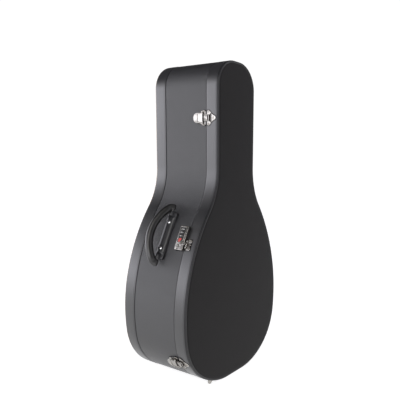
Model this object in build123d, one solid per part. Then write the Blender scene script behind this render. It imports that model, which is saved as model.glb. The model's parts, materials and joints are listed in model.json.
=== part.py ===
from build123d import *
import math
import os

os.makedirs("parts", exist_ok=True)

# ---------------------------------------------------------------------------
# Upright hard case for a pear-shaped, bowl-backed stringed instrument.
# Frame: Z up along the case (head end up), Y depth (lid face at -Y, back at
# +Y), X width.  x = 0 is the plane of symmetry of the shell, y = 0 is half
# depth, z = 0 is the flat land on the tail.  All lengths in mm.
# ---------------------------------------------------------------------------

# overall
HEIGHT = 800.0            # tail to head
DEPTH = 204.8             # lid face to back face
YB = DEPTH / 2.0          # back face
YF = -DEPTH / 2.0         # lid face

# outline: tangent lines and arcs, half of it, from the middle of the tail
TAIL_LAND = 31.0          # half width of the flat land
ARCS = [                  # (radius, sweep in degrees), + bulges out
    (169.9, 39.16),
    (144.2, 43.13),
    (403.0, 21.71),
    (462.0, 22.02),
]
WAIST_R = 171.0           # hollow curve between bowl and neck
HEAD_R = 63.0             # corner radius at the head

# shell
SEAM = -66.2              # parting plane between body and lid
SEAM_GAP = 0.2            # half gap at the seam
SKIN = 1.0                # covering thickness
WALL = 8.0                # plywood wall
WALL_IN = SKIN + WALL
BOARD = 4.8               # back board
LID_BOARD = 4.4
PLUSH = 3.0               # lining
VALANCE_T = 2.2
VALANCE_OUT = 8.0         # how far the valance passes the seam
VALANCE_FIT = 0.6         # clear of the lid rim
STRIP = 35.5              # back edge strip width on the side
RETURN = 14.0             # strip's return on the back face
GROOVE = 0.6              # fine line between strip and covering
WELT_D = 6.0              # welt on the side of the lid
WELT_W = 4.5              # welt on the face of the lid

# lid hinges
HINGE_X = 197.4
HINGE_R = 3.2
HINGE_PIN_R = 1.6
HINGE_FIT = 0.05
HINGE_H = 40.0
HINGE_Z = (143.0, 222.0)  # middles of the two hinges
LEAF_T = 1.3
LEAF_W = 24.0

# draw latches
LATCH_ARC_TAIL = 202.0
LATCH_Z_NECK = 661.5

# lock and handle
LOCK_ARC = 510.0
HANDLE_ARC = 512.0
HANDLE_Y = 0.0
HANDLE_AXIS_N = 6.5
HANDLE_LEAN = 52.0        # degrees the grip lies back from square
GRIP_HALF = 80.0

# glides on the lid rim at the tail
GLIDE_ARC = 92.0
GLIDE_Y = -90.5
GLIDE_H = 11.1


# ---------------------------------------------------------------------------
# outline geometry
# ---------------------------------------------------------------------------
def segments():
    """(kind, start point, heading, length or (R, sweep)) along the right half."""
    segs = []
    x, z, h = 0.0, 0.0, 0.0
    segs.append(("l", x, z, h, TAIL_LAND))
    x += TAIL_LAND
    for r, s in ARCS:
        segs.append(("a", x, z, h, (r, math.radians(s))))
        cx, cz = x - r * math.sin(h), z + r * math.cos(h)
        h += math.radians(s)
        x, z = cx + r * math.sin(h), cz - r * math.cos(h)
    sw = h - math.pi / 2.0
    segs.append(("a", x, z, h, (-WAIST_R, -sw)))
    r = -WAIST_R
    cx, cz = x - r * math.sin(h), z + r * math.cos(h)
    h = math.pi / 2.0
    x, z = cx + r * math.sin(h), cz - r * math.cos(h)
    neck = HEIGHT - HEAD_R - z
    segs.append(("l", x, z, h, neck))
    z += neck
    segs.append(("a", x, z, h, (HEAD_R, math.pi / 2.0)))
    segs.append(("l", x - HEAD_R, z + HEAD_R, math.pi, x - HEAD_R))
    return segs


SEGS = segments()
NECK_HALF = SEGS[6][1]    # half width of the neck


def at_arc(s):
    """Point and heading at distance s along the right half of the outline."""
    for kind, x, z, h, d in SEGS:
        if kind == "l":
            length = d
        else:
            length = abs(d[0] * d[1])
        if s <= length + 1e-9:
            if kind == "l":
                return x + s * math.cos(h), z + s * math.sin(h), h
            r = d[0]
            cx, cz = x - r * math.sin(h), z + r * math.cos(h)
            hh = h + s / r
            return cx + r * math.sin(hh), cz - r * math.cos(hh), hh
        s -= length
    return 0.0, HEIGHT, math.pi


def arc_at_z(zz):
    """Distance along the outline at which the neck line reaches height zz."""
    total = 0.0
    for i, (kind, x, z, h, d) in enumerate(SEGS):
        if i == 6:
            return total + (zz - z)
        total += d if kind == "l" else abs(d[0] * d[1])


def outline_face(off):
    """Face of the outline moved inward by off, drawn in XY (x, z)."""
    right = []
    for kind, x, z, h, d in SEGS:
        # the same point moved inward: left of the heading
        px, pz = x - off * math.sin(h), z + off * math.cos(h)
        if kind == "l":
            qx, qz = px + d * math.cos(h), pz + d * math.sin(h)
            right.append(("l", (px, pz), None, (qx, qz)))
        else:
            r, sw = d
            cx, cz = x - r * math.sin(h), z + r * math.cos(h)
            rr = r - off
            m, e = h + sw / 2.0, h + sw
            mid = (cx + rr * math.sin(m), cz - rr * math.cos(m))
            end = (cx + rr * math.sin(e), cz - rr * math.cos(e))
            right.append(("a", (px, pz), mid, end))
    edges = []
    # the two flats meet their mirror images, so each is drawn once
    tail = right[0]
    edges.append(Line((-tail[3][0], tail[3][1]), tail[3]))
    for kind, p, m, q in right[1:-1]:
        if kind == "l":
            edges.append(Line(p, q))
            edges.append(Line((-p[0], p[1]), (-q[0], q[1])))
        else:
            edges.append(ThreePointArc(p, m, q))
            edges.append(ThreePointArc((-p[0], p[1]), (-m[0], m[1]), (-q[0], q[1])))
    head = right[-1]
    edges.append(Line(head[1], (-head[1][0], head[1][1])))
    wire = Wire(edges)
    return Face(wire)


def slab(off, y0, y1):
    """Solid of the outline moved inward by off, from y0 to y1."""
    f = outline_face(off)
    s = extrude(f, amount=y1 - y0, dir=(0, 0, 1))
    s = Pos(0, 0, -y1) * s
    return Rot(90, 0, 0) * s


def ring(o0, o1, y0, y1):
    return slab(o0, y0, y1) - slab(o1, y0 - 1, y1 + 1)


def box(x0, x1, y0, y1, z0, z1):
    return Pos((x0 + x1) / 2, (y0 + y1) / 2, (z0 + z1) / 2) * Box(x1 - x0, y1 - y0, z1 - z0)


def frame_left(arc, y):
    x, z, h = at_arc(arc)
    return Plane(origin=(-x, y, z), x_dir=(-math.cos(h), 0, math.sin(h)),
                 z_dir=(-math.sin(h), 0, -math.cos(h)))


def frame_right(arc, y):
    x, z, h = at_arc(arc)
    return Plane(origin=(x, y, z), x_dir=(math.cos(h), 0, math.sin(h)),
                 z_dir=(math.sin(h), 0, -math.cos(h)))


def put(plane, shape):
    return plane.location * shape


def cyl_a(a0, a1, y, n, r):
    """Cylinder along the local a (X) axis."""
    return Pos((a0 + a1) / 2, y, n) * Rot(0, 90, 0) * Cylinder(r, a1 - a0)


def save(name, shape):
    if isinstance(shape, (list, tuple)):
        shape = Compound(children=list(shape))
    export_step(shape, "parts/" + name + ".step")


CASE = slab(0.0, YF - 5, YB + 5)          # what every fitting is seated on

# ---------------------------------------------------------------------------
# body shell
# ---------------------------------------------------------------------------
B0 = SEAM + SEAM_GAP                      # body side of the seam
L0 = SEAM - SEAM_GAP                      # lid side of the seam
BACK_IN = YB - SKIN - BOARD               # inner face of the back board

body_wall = ring(SKIN, WALL_IN, B0, BACK_IN)
save("body_wall", body_wall)

back_board = slab(SKIN, BACK_IN, YB - SKIN)
save("back_board", back_board)

side_covering = ring(0.0, SKIN, B0, YB - STRIP - GROOVE)
save("side_covering", side_covering)

back_edge_binding = ring(0.0, SKIN, YB - STRIP, YB - SKIN) + ring(0.0, RETURN, YB - SKIN, YB)
save("back_edge_binding", back_edge_binding)

back_covering = slab(RETURN + 0.3, YB - SKIN, YB)
save("back_covering", back_covering)

VAL_BACK = SEAM + 26.0
LIN_IN = WALL_IN + VALANCE_FIT + PLUSH
valance_frame = ring(WALL_IN, WALL_IN + VALANCE_FIT + VALANCE_T, B0, VAL_BACK)
valance_frame = valance_frame + ring(WALL_IN + VALANCE_FIT, WALL_IN + VALANCE_FIT + VALANCE_T,
                                     SEAM - VALANCE_OUT, B0)
save("valance_frame", valance_frame)

body_lining = slab(WALL_IN, VAL_BACK, BACK_IN) - slab(LIN_IN, VAL_BACK - 1, BACK_IN - PLUSH)
save("body_lining", body_lining)
FLOOR = BACK_IN - PLUSH

# neck support: padded block with a round notch for the neck
CR_Z0, CR_Z1, CR_TOP = 556.0, 596.0, -12.0
inner = slab(LIN_IN, -200, 200)
neck_cradle = box(-80, 80, CR_TOP, FLOOR, CR_Z0, CR_Z1) & inner
notch = Pos(0, CR_TOP + 14, (CR_Z0 + CR_Z1) / 2) * Cylinder(30, 60)
notch = notch + box(-30, 30, CR_TOP - 10, CR_TOP + 14, CR_Z0 - 5, CR_Z1 + 5)
neck_cradle = neck_cradle - notch
save("neck_cradle", neck_cradle)

# accessory compartment: divider, cleats, lid with pin and tab
DV_Z, DV_T, CP_TOP = 691.8, 4.0, 31.0
PIN_Y, PIN_Z, PIN_R = 28.3, 689.0, 1.2
divider = box(-80, 80, CP_TOP, FLOOR, DV_Z, DV_Z + DV_T) & inner
for x0, x1 in ((-46, -41), (-19, -14), (14, 19), (41, 46)):
    ear = Pos((x0 + x1) / 2, PIN_Y, PIN_Z) * Rot(0, 90, 0) * Cylinder(2.4, x1 - x0)
    ear = ear + box(x0, x1, PIN_Y - 0.6, PIN_Y + 2.4, PIN_Z, DV_Z + DV_T)
    ear = ear + box(x0, x1, PIN_Y - 0.6, CP_TOP + 2, DV_Z, DV_Z + DV_T)
    divider = divider + ear
divider = divider - (Pos(0, PIN_Y, PIN_Z) * Rot(0, 90, 0) * Cylinder(PIN_R, 120))
save("compartment_divider", divider)
save("compartment_hinge_pin", Pos(0, PIN_Y, PIN_Z) * Rot(0, 90, 0) * Cylinder(PIN_R, 94))

cleat_r = box(53, 80, CP_TOP + 0.4, CP_TOP + 6, CR_Z1, DV_Z) & inner
cleat_l = box(-80, -53, CP_TOP + 0.4, CP_TOP + 6, CR_Z1, DV_Z) & inner
save("compartment_cleats", [cleat_l.solids()[0], cleat_r.solids()[0]])

comp_lid = box(-58, 58, PIN_Y - 0.3, CP_TOP, CR_Z1 + 3.5, PIN_Z - 3.2)
for x0, x1 in ((-40.5, -19.5), (19.5, 40.5)):
    b = Pos((x0 + x1) / 2, PIN_Y, PIN_Z) * Rot(0, 90, 0) * Cylinder(2.4, x1 - x0)
    b = b + box(x0, x1, PIN_Y - 0.3, PIN_Y + 2.0, PIN_Z - 4, PIN_Z)
    comp_lid = comp_lid + b
comp_lid = comp_lid - (Pos(0, PIN_Y, PIN_Z) * Rot(0, 90, 0) * Cylinder(PIN_R + 0.06, 130))
save("compartment_lid", comp_lid)
tab = box(-9, 9, PIN_Y - 2.1, PIN_Y - 0.3, CR_Z1 + 2.0, CR_Z1 + 30)
tab = fillet(tab.edges().filter_by(Axis.Y), 4.0)
save("compartment_tab", tab)

# ---------------------------------------------------------------------------
# lid shell
# ---------------------------------------------------------------------------
LID_IN = YF + SKIN + LID_BOARD
lid_rim = ring(SKIN, WALL_IN, LID_IN, L0)
save("lid_rim", lid_rim)

lid_board = slab(SKIN, YF + SKIN, LID_IN)
save("lid_board", lid_board)

WELT_Y = YF + WELT_D
lid_rim_covering = ring(0.0, SKIN, WELT_Y + 0.3, L0)
save("lid_rim_covering", lid_rim_covering)

welt = slab(0.0, YF, WELT_Y)
front = [e for e in welt.edges() if abs(e.center().Y - YF) < 0.01]
welt = fillet(front, 2.2)
welt = welt - slab(SKIN, YF + SKIN, WELT_Y + 1) - slab(WELT_W, YF - 1, WELT_Y + 1)
save("lid_edge_welt", welt)

lid_face = slab(WELT_W + 0.3, YF, YF + SKIN)
save("lid_face_covering", lid_face)

lid_lining = slab(WALL_IN, LID_IN, SEAM - VALANCE_OUT - 1.5)
lid_lining = lid_lining - slab(WALL_IN + PLUSH, LID_IN + PLUSH, 0)
save("lid_lining", lid_lining)

glides = []
for fr in (frame_left(GLIDE_ARC, GLIDE_Y), frame_right(GLIDE_ARC, GLIDE_Y)):
    g = Cone(7.6, 5.4, 4.5, align=(Align.CENTER, Align.CENTER, Align.MIN))
    g = g + Pos(0, 0, 4.5) * Cylinder(5.4, 2.0, align=(Align.CENTER, Align.CENTER, Align.MIN))
    g = g + Pos(0, 0, GLIDE_H - 5.4) * (Sphere(5.4) & Pos(0, 0, 5.4) * Box(20, 20, 10.8))
    g = g + Pos(0, 0, -0.5) * Cylinder(7.6, 1.0)
    glides.append((put(fr, g) - CASE).solids()[0])
save("lid_glides", glides)

# ---------------------------------------------------------------------------
# lid hinges on the +X side: leaves follow the wall, knuckles on one line
# ---------------------------------------------------------------------------
leafband = slab(-LEAF_T, YF, YB) - slab(0.0, YF - 1, YB + 1)
names = ("lower", "upper")
pins, rivets_b, rivets_l = [], [], []


def arc_at_side_z(zz):
    lo, hi = 60.0, 440.0
    for _ in range(60):
        mid = (lo + hi) / 2
        if at_arc(mid)[1] < zz:
            lo = mid
        else:
            hi = mid
    return lo


for name, zc in zip(names, HINGE_Z):
    z0, z1 = zc - HINGE_H / 2, zc + HINGE_H / 2
    kn = HINGE_H / 5.0
    y_b0, y_l0 = SEAM + 3.8, SEAM - 3.8
    body_leaf = leafband & box(100, 260, y_b0, y_b0 + LEAF_W, z0, z1)
    lid_leaf = leafband & box(100, 260, y_l0 - LEAF_W, y_l0, z0, z1)
    for i in range(5):
        k0, k1 = z0 + i * kn + 0.25, z0 + (i + 1) * kn - 0.25
        kz = (k0 + k1) / 2
        knuckle = Pos(HINGE_X, SEAM, kz) * Cylinder(HINGE_R, k1 - k0)
        xw = at_arc(arc_at_side_z(kz))[0]
        if i % 2 == 0:
            web = box(xw - 4, HINGE_X, SEAM + 0.6, y_b0 + 2.0, k0, k1) & box(xw - 4, HINGE_X - 0.2, SEAM + 0.6, y_b0 + 2.0, k0, k1)
            web = (web - CASE) - (Pos(HINGE_X, SEAM, kz) * Cylinder(HINGE_PIN_R, 60))
            body_leaf = body_leaf + knuckle + web
        else:
            web = box(xw - 4, HINGE_X - 0.2, y_l0 - 2.0, SEAM - 0.6, k0, k1)
            web = (web - CASE)
            lid_leaf = lid_leaf + knuckle + web
    bore = Pos(HINGE_X, SEAM, zc) * Cylinder(HINGE_PIN_R + HINGE_FIT, 80)
    save("hinge_" + name + "_body_leaf", (body_leaf - bore))
    save("hinge_" + name + "_lid_leaf", (lid_leaf - bore))
    pin = Pos(HINGE_X, SEAM, zc) * Cylinder(HINGE_PIN_R, HINGE_H)
    pin = pin + Pos(HINGE_X, SEAM, z1 + 0.7) * Cylinder(2.4, 1.4)
    pin = pin + Pos(HINGE_X, SEAM, z0 - 0.7) * Cylinder(2.4, 1.4)
    pins.append(pin.solids()[0])
    for dz in (-12.5, 12.5):
        for k in (9.0, 19.0):
            s = arc_at_side_z(zc + dz)
            for lst, yy in ((rivets_b, y_b0 + k), (rivets_l, y_l0 - k)):
                rv = Pos(0, 0, LEAF_T) * Cone(2.6, 1.4, 1.2, align=(Align.CENTER, Align.CENTER, Align.MIN))
                lst.append(put(frame_right(s, yy), rv).solids()[0])
save("hinge_pins", pins)
save("hinge_body_rivets", rivets_b)
save("hinge_lid_rivets", rivets_l)


# ---------------------------------------------------------------------------
# draw latches.  Local axes: a along the wall towards the head, y towards the
# back from the seam, n out of the wall.
# ---------------------------------------------------------------------------
PIV_Y, PIV_N = 9.0, 4.2       # lever pivot
BP_Y, BP_N = 17.0, 3.6        # bail pivot on the lever
PLATE_T = 1.2
LEVER_LEN = 36.4


def rounded_plate(pts, t, r, z0=0.0):
    w = Wire([Line(pts[i], pts[(i + 1) % len(pts)]) for i in range(len(pts))])
    f = Face(w)
    f = fillet(f.vertices(), r)
    return Pos(0, 0, z0) * extrude(f, amount=t, dir=(0, 0, 1))


def latch_parts(name, plane):
    # base plate: eared near the seam, narrow behind
    pts = [(-18, 2.2), (18, 2.2), (18, 13.5), (12, 18.0), (11, 35.0), (-11, 35.0), (-12, 18.0), (-18, 13.5)]
    base = rounded_plate(pts, PLATE_T + 3.0, 1.8, -3.0)
    for s in (-1, 1):
        lug = box(min(s * 13.0, s * 14.6), max(s * 13.0, s * 14.6), PIV_Y - 3.6, PIV_Y + 3.6, 0, PIV_N)
        lug = lug + cyl_a(min(s * 13.0, s * 14.6), max(s * 13.0, s * 14.6), PIV_Y, PIV_N, 3.0)
        base = base + lug
    base = base - cyl_a(-20, 20, PIV_Y, PIV_N, 1.25)
    # lugs stay clear of the seat
    placed = put(plane, base) - CASE
    save("latch_" + name + "_base", placed.solids()[0])
    # pivot stubs, headed outside the lugs
    stubs = []
    for s in (-1, 1):
        st = cyl_a(min(s * 8.6, s * 15.0), max(s * 8.6, s * 15.0), PIV_Y, PIV_N, 1.25)
        st = st + cyl_a(min(s * 14.6, s * 15.6), max(s * 14.6, s * 15.6), PIV_Y, PIV_N, 2.1)
        stubs.append(put(plane, st).solids()[0])
    save("latch_" + name + "_pins", stubs)
    # rivets on the ears and under the tab
    rv = []
    for a, y in ((-16.0, 4.4), (16.0, 4.4), (0.0, 31.5)):
        r = Pos(a, y, PLATE_T) * Cone(1.7, 0.9, 0.9, align=(Align.CENTER, Align.CENTER, Align.MIN))
        rv.append(put(plane, r).solids()[0])
    save("latch_" + name + "_rivets", rv)
    # lever: plate, two barrels and two flanges, rounded tab
    pts = [(-12, 6.6), (12, 6.6), (12.2, LEVER_LEN), (-12.2, LEVER_LEN)]
    w = Wire([Line(pts[i], pts[(i + 1) % 4]) for i in range(4)])
    f = Face(w)
    far = [v for v in f.vertices() if v.Y > 30]
    f = fillet(far, 9.0)
    lever = Pos(0, 0, 5.6) * extrude(f, amount=1.6, dir=(0, 0, 1))
    # slot that the bail turns up through
    lever = lever - box(-6.8, 6.8, 0, 20.8, 5.0, 8.0)
    lever = lever - box(-8.2, 8.2, 0, 12.6, 5.0, 6.2)
    for s in (-1, 1):
        a0, a1 = min(s * 8.4, s * 12.4), max(s * 8.4, s * 12.4)
        lever = lever + cyl_a(a0, a1, PIV_Y, PIV_N, 2.6)
        lever = lever + box(a0, a1, PIV_Y, PIV_Y + 3.0, PIV_N, 6.0)
        c0, c1 = min(s * 7.0, s * 9.2), max(s * 7.0, s * 9.2)
        lever = lever + cyl_a(c0, c1, BP_Y, BP_N, 2.0) + box(c0, c1, BP_Y - 2.0, BP_Y + 2.0, BP_N, 6.0)
    lever = lever - cyl_a(-20, -8.0, PIV_Y, PIV_N, 1.30) - cyl_a(8.0, 20, PIV_Y, PIV_N, 1.30)
    lever = lever - cyl_a(-11, 11, BP_Y, BP_N, 1.0)
    save("latch_" + name + "_lever", put(plane, lever).solids()[0])
    save("latch_" + name + "_bail_pin", put(plane, cyl_a(-9.2, 9.2, BP_Y, BP_N, 1.0)))
    # bail: barrel, strap across the seam, hook behind the catch lip
    bail = cyl_a(-6.6, 6.6, BP_Y, BP_N, 1.8)
    bail = bail + box(-6.3, 6.3, -11.0, BP_Y, 3.1, 4.5)
    bail = bail + box(-6.3, 6.3, -11.0, -9.5, 1.9, 4.5)
    bail = bail + box(-6.3, 6.3, -7.0, 3.6, 4.4, 6.0)
    bail = bail - cyl_a(-11, 11, BP_Y, BP_N, 1.05)
    save("latch_" + name + "_bail", put(plane, bail).solids()[0])
    # catch plate on the lid: eared, ogee to a rounded tip, upstanding lip
    pts = [(-18, -2.2), (18, -2.2), (18, -11.5), (10.5, -15.5), (6.0, -24.0), (3.4, -28.2), (-3.4, -28.2), (-6.0, -24.0), (-10.5, -15.5), (-18, -11.5)]
    catch = rounded_plate(pts, PLATE_T + 3.0, 1.5, -3.0)
    catch = catch + box(-7.5, 7.5, -9.1, -7.6, 0.5, 2.8)
    save("latch_" + name + "_catch", (put(plane, catch) - CASE).solids()[0])
    rv = []
    for a, y, r in ((0.0, -21.5, 2.6), (-14.5, -5.6, 1.7), (14.5, -5.6, 1.7)):
        c = Pos(a, y, PLATE_T) * Cone(r, r * 0.55, 1.1, align=(Align.CENTER, Align.CENTER, Align.MIN))
        rv.append(put(plane, c).solids()[0])
    save("latch_" + name + "_catch_rivets", rv)


latch_parts("neck", frame_left(arc_at_z(LATCH_Z_NECK), SEAM))
latch_parts("tail", frame_left(LATCH_ARC_TAIL, SEAM))

# ---------------------------------------------------------------------------
# combination lock on the body and hasp on the lid
# ---------------------------------------------------------------------------
LK = frame_left(LOCK_ARC, SEAM)
LK_H = 8.0
DIAL_R, DIAL_W, DIAL_Y, DIAL_N = 5.2, 5.6, 13.2, 5.6
DIAL_A = (20.6, 12.2, 3.8)
AXLE_R = 1.2

housing = box(-30, 30, 1.6, 23.2, -3.0, LK_H)
top_edges = [e for e in housing.edges() if e.center().Z > LK_H - 0.01] + list(housing.edges().filter_by(Axis.Z))
housing = fillet(top_edges, 1.4)
housing = housing - box(-1.0, 25.6, 4.2, 21.6, -4, LK_H - 1.2)
for a in DIAL_A:
    housing = housing - box(a - DIAL_W / 2 - 0.5, a + DIAL_W / 2 + 0.5, DIAL_Y - 5.4, DIAL_Y + 5.4, 0, LK_H + 1)
housing = housing - box(-28.4, -8.0, 2.9, 17.4, -4, LK_H - 1.2)
housing = housing - box(-17.2, -9.8, 0, 9.8, 2.6, LK_H + 1)
housing = housing - box(-27.6, -18.9, 12.4, 16.6, 4, LK_H + 1)
housing = housing - cyl_a(-3.5, 28.0, DIAL_Y, DIAL_N, AXLE_R)
index_pos = (-4.6, 13.2)
housing = housing - Pos(index_pos[0], index_pos[1], LK_H) * Cylinder(1.7, 1.2)
save("lock_housing", (put(LK, housing) - CASE).solids()[0])
save("lock_dial_axle", put(LK, cyl_a(-3.5, 28.0, DIAL_Y, DIAL_N, AXLE_R)))
for i, a in enumerate(DIAL_A):
    d = cyl_a(a - DIAL_W / 2, a + DIAL_W / 2, DIAL_Y, DIAL_N, DIAL_R)
    for k in range(10):
        ang = 2 * math.pi * (k + 0.5) / 10
        d = d - cyl_a(a - 4, a + 4, DIAL_Y + 5.55 * math.cos(ang), DIAL_N + 5.55 * math.sin(ang), 0.8)
    d = d - cyl_a(a - 4, a + 4, DIAL_Y, DIAL_N, AXLE_R + 0.06)
    save("lock_dial_%d" % (i + 1), put(LK, d))
index_mark = Pos(index_pos[0], index_pos[1], LK_H - 0.6) * Cylinder(1.7, 1.4, align=(Align.CENTER, Align.CENTER, Align.MIN))
save("lock_index_mark", put(LK, index_mark))
rv = []
for a, y in ((27.4, 4.6), (27.4, 20.6), (-27.4, 20.6)):
    c = Pos(a, y, LK_H) * Cone(1.1, 0.6, 0.7, align=(Align.CENTER, Align.CENTER, Align.MIN))
    rv.append(put(LK, c).solids()[0])
save("lock_rivets", rv)

# release slider: thumb piece, stem through the slot, bolt beside the staple
thumb = box(-26.2, -17.0, 11.4, 19.2, LK_H + 0.3, LK_H + 2.3)
thumb = fillet(thumb.edges().filter_by(Axis.Z), 1.5)
slider = thumb + box(-22.0, -19.5, 13.0, 16.0, 4.6, LK_H + 1.0)
slider = slider + box(-22.0, -19.5, 3.3, 16.0, 4.6, 6.4)
slider = slider + box(-22.0, -14.0, 3.3, 4.6, 4.6, 6.4)
save("lock_slider", put(LK, slider))

# hasp: plate with two knuckles on the lid, pin, arm over the lock
HA0, HA1, HP_Y, HP_N = -26.0, -1.0, -6.0, 3.0
plate = box(HA0, HA1, -21.0, -3.4, -3.0, 1.2)
plate = fillet(plate.edges().filter_by(Axis.Z), 2.5)
for a0, a1 in ((-23.0, -19.0), (-8.0, -4.0)):
    plate = plate + cyl_a(a0, a1, HP_Y, HP_N, 2.2) + box(a0, a1, HP_Y - 2.2, HP_Y + 2.2, 0, HP_N)
plate = plate - cyl_a(-30, 0, HP_Y, HP_N, 1.0)
save("hasp_plate", (put(LK, plate) - CASE).solids()[0])
save("hasp_pin", put(LK, cyl_a(-23.0, -4.0, HP_Y, HP_N, 1.0)))
arm = cyl_a(-18.6, -8.4, HP_Y, HP_N, 2.2 - 0.4)
arm = arm + box(-16.8, -10.2, -6.2, -4.4, HP_N, 9.8)
arm = arm + box(-16.8, -10.2, -6.2, 4.0, LK_H + 0.4, 9.8)
head = box(-20.0, -7.0, 2.2, 10.8, LK_H + 0.4, 9.8)
head = fillet(head.edges().filter_by(Axis.Z), 1.8)
arm = arm + head + box(-16.0, -11.0, 6.4, 9.0, 4.0, 9.0)
arm = arm - cyl_a(-30, 0, HP_Y, HP_N, 1.06)
save("hasp_arm", put(LK, arm).solids()[0])
rv = []
for a, y in ((-22.5, -17.6), (-4.5, -17.6), (-13.5, -17.6)):
    c = Pos(a, y, 1.2) * Cone(1.6, 0.9, 0.9, align=(Align.CENTER, Align.CENTER, Align.MIN))
    rv.append(put(LK, c).solids()[0])
save("hasp_rivets", rv)

# ---------------------------------------------------------------------------
# carrying handle
# ---------------------------------------------------------------------------
HF = frame_left(HANDLE_ARC, HANDLE_Y)
AX = HANDLE_AXIS_N
bar = box(-61.5, 61.5, -14.0, 14.0, -7.0, 5.0)
bar = fillet(bar.edges().filter_by(Axis.Z), 7.0)
top = [e for e in bar.edges() if e.center().Z > 4.9]
bar = fillet(top, 3.6)
for s in (-1, 1):
    a0, a1 = min(s * 49.0, s * 61.5), max(s * 49.0, s * 61.5)
    bar = bar + cyl_a(a0, a1, 0, AX, 5.2) + box(a0, a1, -5.2, 5.2, 2.0, AX)
    bar = bar - Pos(s * 33.5, 0, 5.0 - 1.2) * Cylinder(5.2, 2.4, align=(Align.CENTER, Align.CENTER, Align.MIN))
bar = bar - cyl_a(-61.5, -52.0, 0, AX, 2.0) - cyl_a(52.0, 61.5, 0, AX, 2.0)
save("handle_base", (put(HF, bar) - CASE).solids()[0])

screws = []
for s in (-1, 1):
    sc = Pos(s * 33.5, 0, 3.8) * Cylinder(4.4, 1.0, align=(Align.CENTER, Align.CENTER, Align.MIN))
    sc = sc + Pos(s * 33.5, 0, 4.8) * Cone(4.4, 2.6, 1.0, align=(Align.CENTER, Align.CENTER, Align.MIN))
    sc = sc - box(s * 33.5 - 0.5, s * 33.5 + 0.5, -5, 5, 5.2, 7)
    screws.append(put(HF, sc).solids()[0])
save("handle_screws", screws)

hp = []
for s in (-1, 1):
    c = cyl_a(min(s * 52.0, s * 76.0), max(s * 52.0, s * 76.0), 0, AX, 2.0)
    hp.append(put(HF, c).solids()[0])
save("handle_pins", hp)

# grip: straight out first, then laid back about the pin line
END_C = 58.0                              # centre of the tight arc at each end
END_A = math.radians(50.0)                # angle that it turns through
MID_Y = END_C * math.tan(END_A)           # centre of the wide arc, below the pin line
MID_R = END_C / math.cos(END_A) + (GRIP_HALF - END_C)


def arch(half, low):
    """Face under an arch of three tangent arcs, half wide, its sides carried down to low."""
    r = half - END_C
    big = MID_R - (GRIP_HALF - half)
    px, py = END_C + r * math.cos(END_A), r * math.sin(END_A)
    top = big - MID_Y
    k1 = (END_C + r * math.cos(END_A / 2), r * math.sin(END_A / 2))
    return Face(Wire([Line((-half, low), (half, low)), Line((half, low), (half, 0)),
                      ThreePointArc((half, 0), k1, (px, py)), ThreePointArc((px, py), (0, top), (-px, py)),
                      ThreePointArc((-px, py), (-k1[0], k1[1]), (-half, 0)), Line((-half, 0), (-half, low))]))


w = arch(GRIP_HALF, -5.4)
near = [v for v in w.vertices() if v.Y < -5]
w = fillet(near, 5.0)
v = arch(62.4, -20.0)
g = extrude(w, amount=9.0, dir=(0, 0, 1), both=True) - extrude(v, amount=12.0, dir=(0, 0, 1), both=True)
edges = [e for e in g.edges() if abs(abs(e.center().Z) - 9.0) < 0.01 and e.center().Y > 1.0]
try:
    g = fillet(edges, 6.0)
except Exception:
    g = fillet(edges, 3.0)
# thin the two eyes so that they turn clear of the wall
for s in (-1, 1):
    for q in (-1, 1):
        g = g - box(min(s * 53, s * 85), max(s * 53, s * 85), -12.0, 13.0,
                    min(q * 5.0, q * 12.0), max(q * 5.0, q * 12.0))
# room for the posts between the eyes
g = g - Rot(0, 90, 0) * Cylinder(8.6, 124.0)
# local: x = a, y = reach, z = thickness -> rotate so that reach is along n
g = Rot(90, 0, 0) * g
g = Pos(0, 0, AX) * g
for s in (-1, 1):
    g = g - cyl_a(min(s * 60, s * 76.1), max(s * 60, s * 76.1), 0, AX, 2.05)
lean = Pos(0, 0, AX) * Rot(-HANDLE_LEAN, 0, 0) * Pos(0, 0, -AX)
grip = put(HF, lean * g)
save("handle_grip", grip.solids()[0])
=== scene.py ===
import json
import math

import bmesh
import bpy
import numpy as np
from mathutils import Matrix, Vector


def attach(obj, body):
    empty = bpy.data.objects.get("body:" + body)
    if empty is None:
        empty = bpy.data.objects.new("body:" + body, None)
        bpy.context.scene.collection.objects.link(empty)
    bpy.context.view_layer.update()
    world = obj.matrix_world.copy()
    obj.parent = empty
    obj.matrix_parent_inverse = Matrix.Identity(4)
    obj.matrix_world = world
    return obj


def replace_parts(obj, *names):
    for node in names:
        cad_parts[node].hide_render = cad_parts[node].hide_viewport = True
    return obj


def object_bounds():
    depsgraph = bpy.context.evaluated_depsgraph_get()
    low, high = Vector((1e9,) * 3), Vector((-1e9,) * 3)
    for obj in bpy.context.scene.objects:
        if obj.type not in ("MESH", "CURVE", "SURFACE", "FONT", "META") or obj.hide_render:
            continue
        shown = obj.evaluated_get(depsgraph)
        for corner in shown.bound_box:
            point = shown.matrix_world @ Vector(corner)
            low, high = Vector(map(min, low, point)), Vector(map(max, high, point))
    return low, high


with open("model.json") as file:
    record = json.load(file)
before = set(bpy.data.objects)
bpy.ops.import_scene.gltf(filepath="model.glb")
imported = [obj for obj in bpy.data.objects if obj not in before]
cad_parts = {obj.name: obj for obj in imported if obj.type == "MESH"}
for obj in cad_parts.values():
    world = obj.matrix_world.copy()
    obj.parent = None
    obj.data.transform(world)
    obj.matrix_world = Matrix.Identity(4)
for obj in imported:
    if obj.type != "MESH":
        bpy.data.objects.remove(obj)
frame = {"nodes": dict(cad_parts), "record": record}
CAD_BOX = [list(c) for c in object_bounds()]
REC = frame["record"]
MM = 0.001

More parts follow.
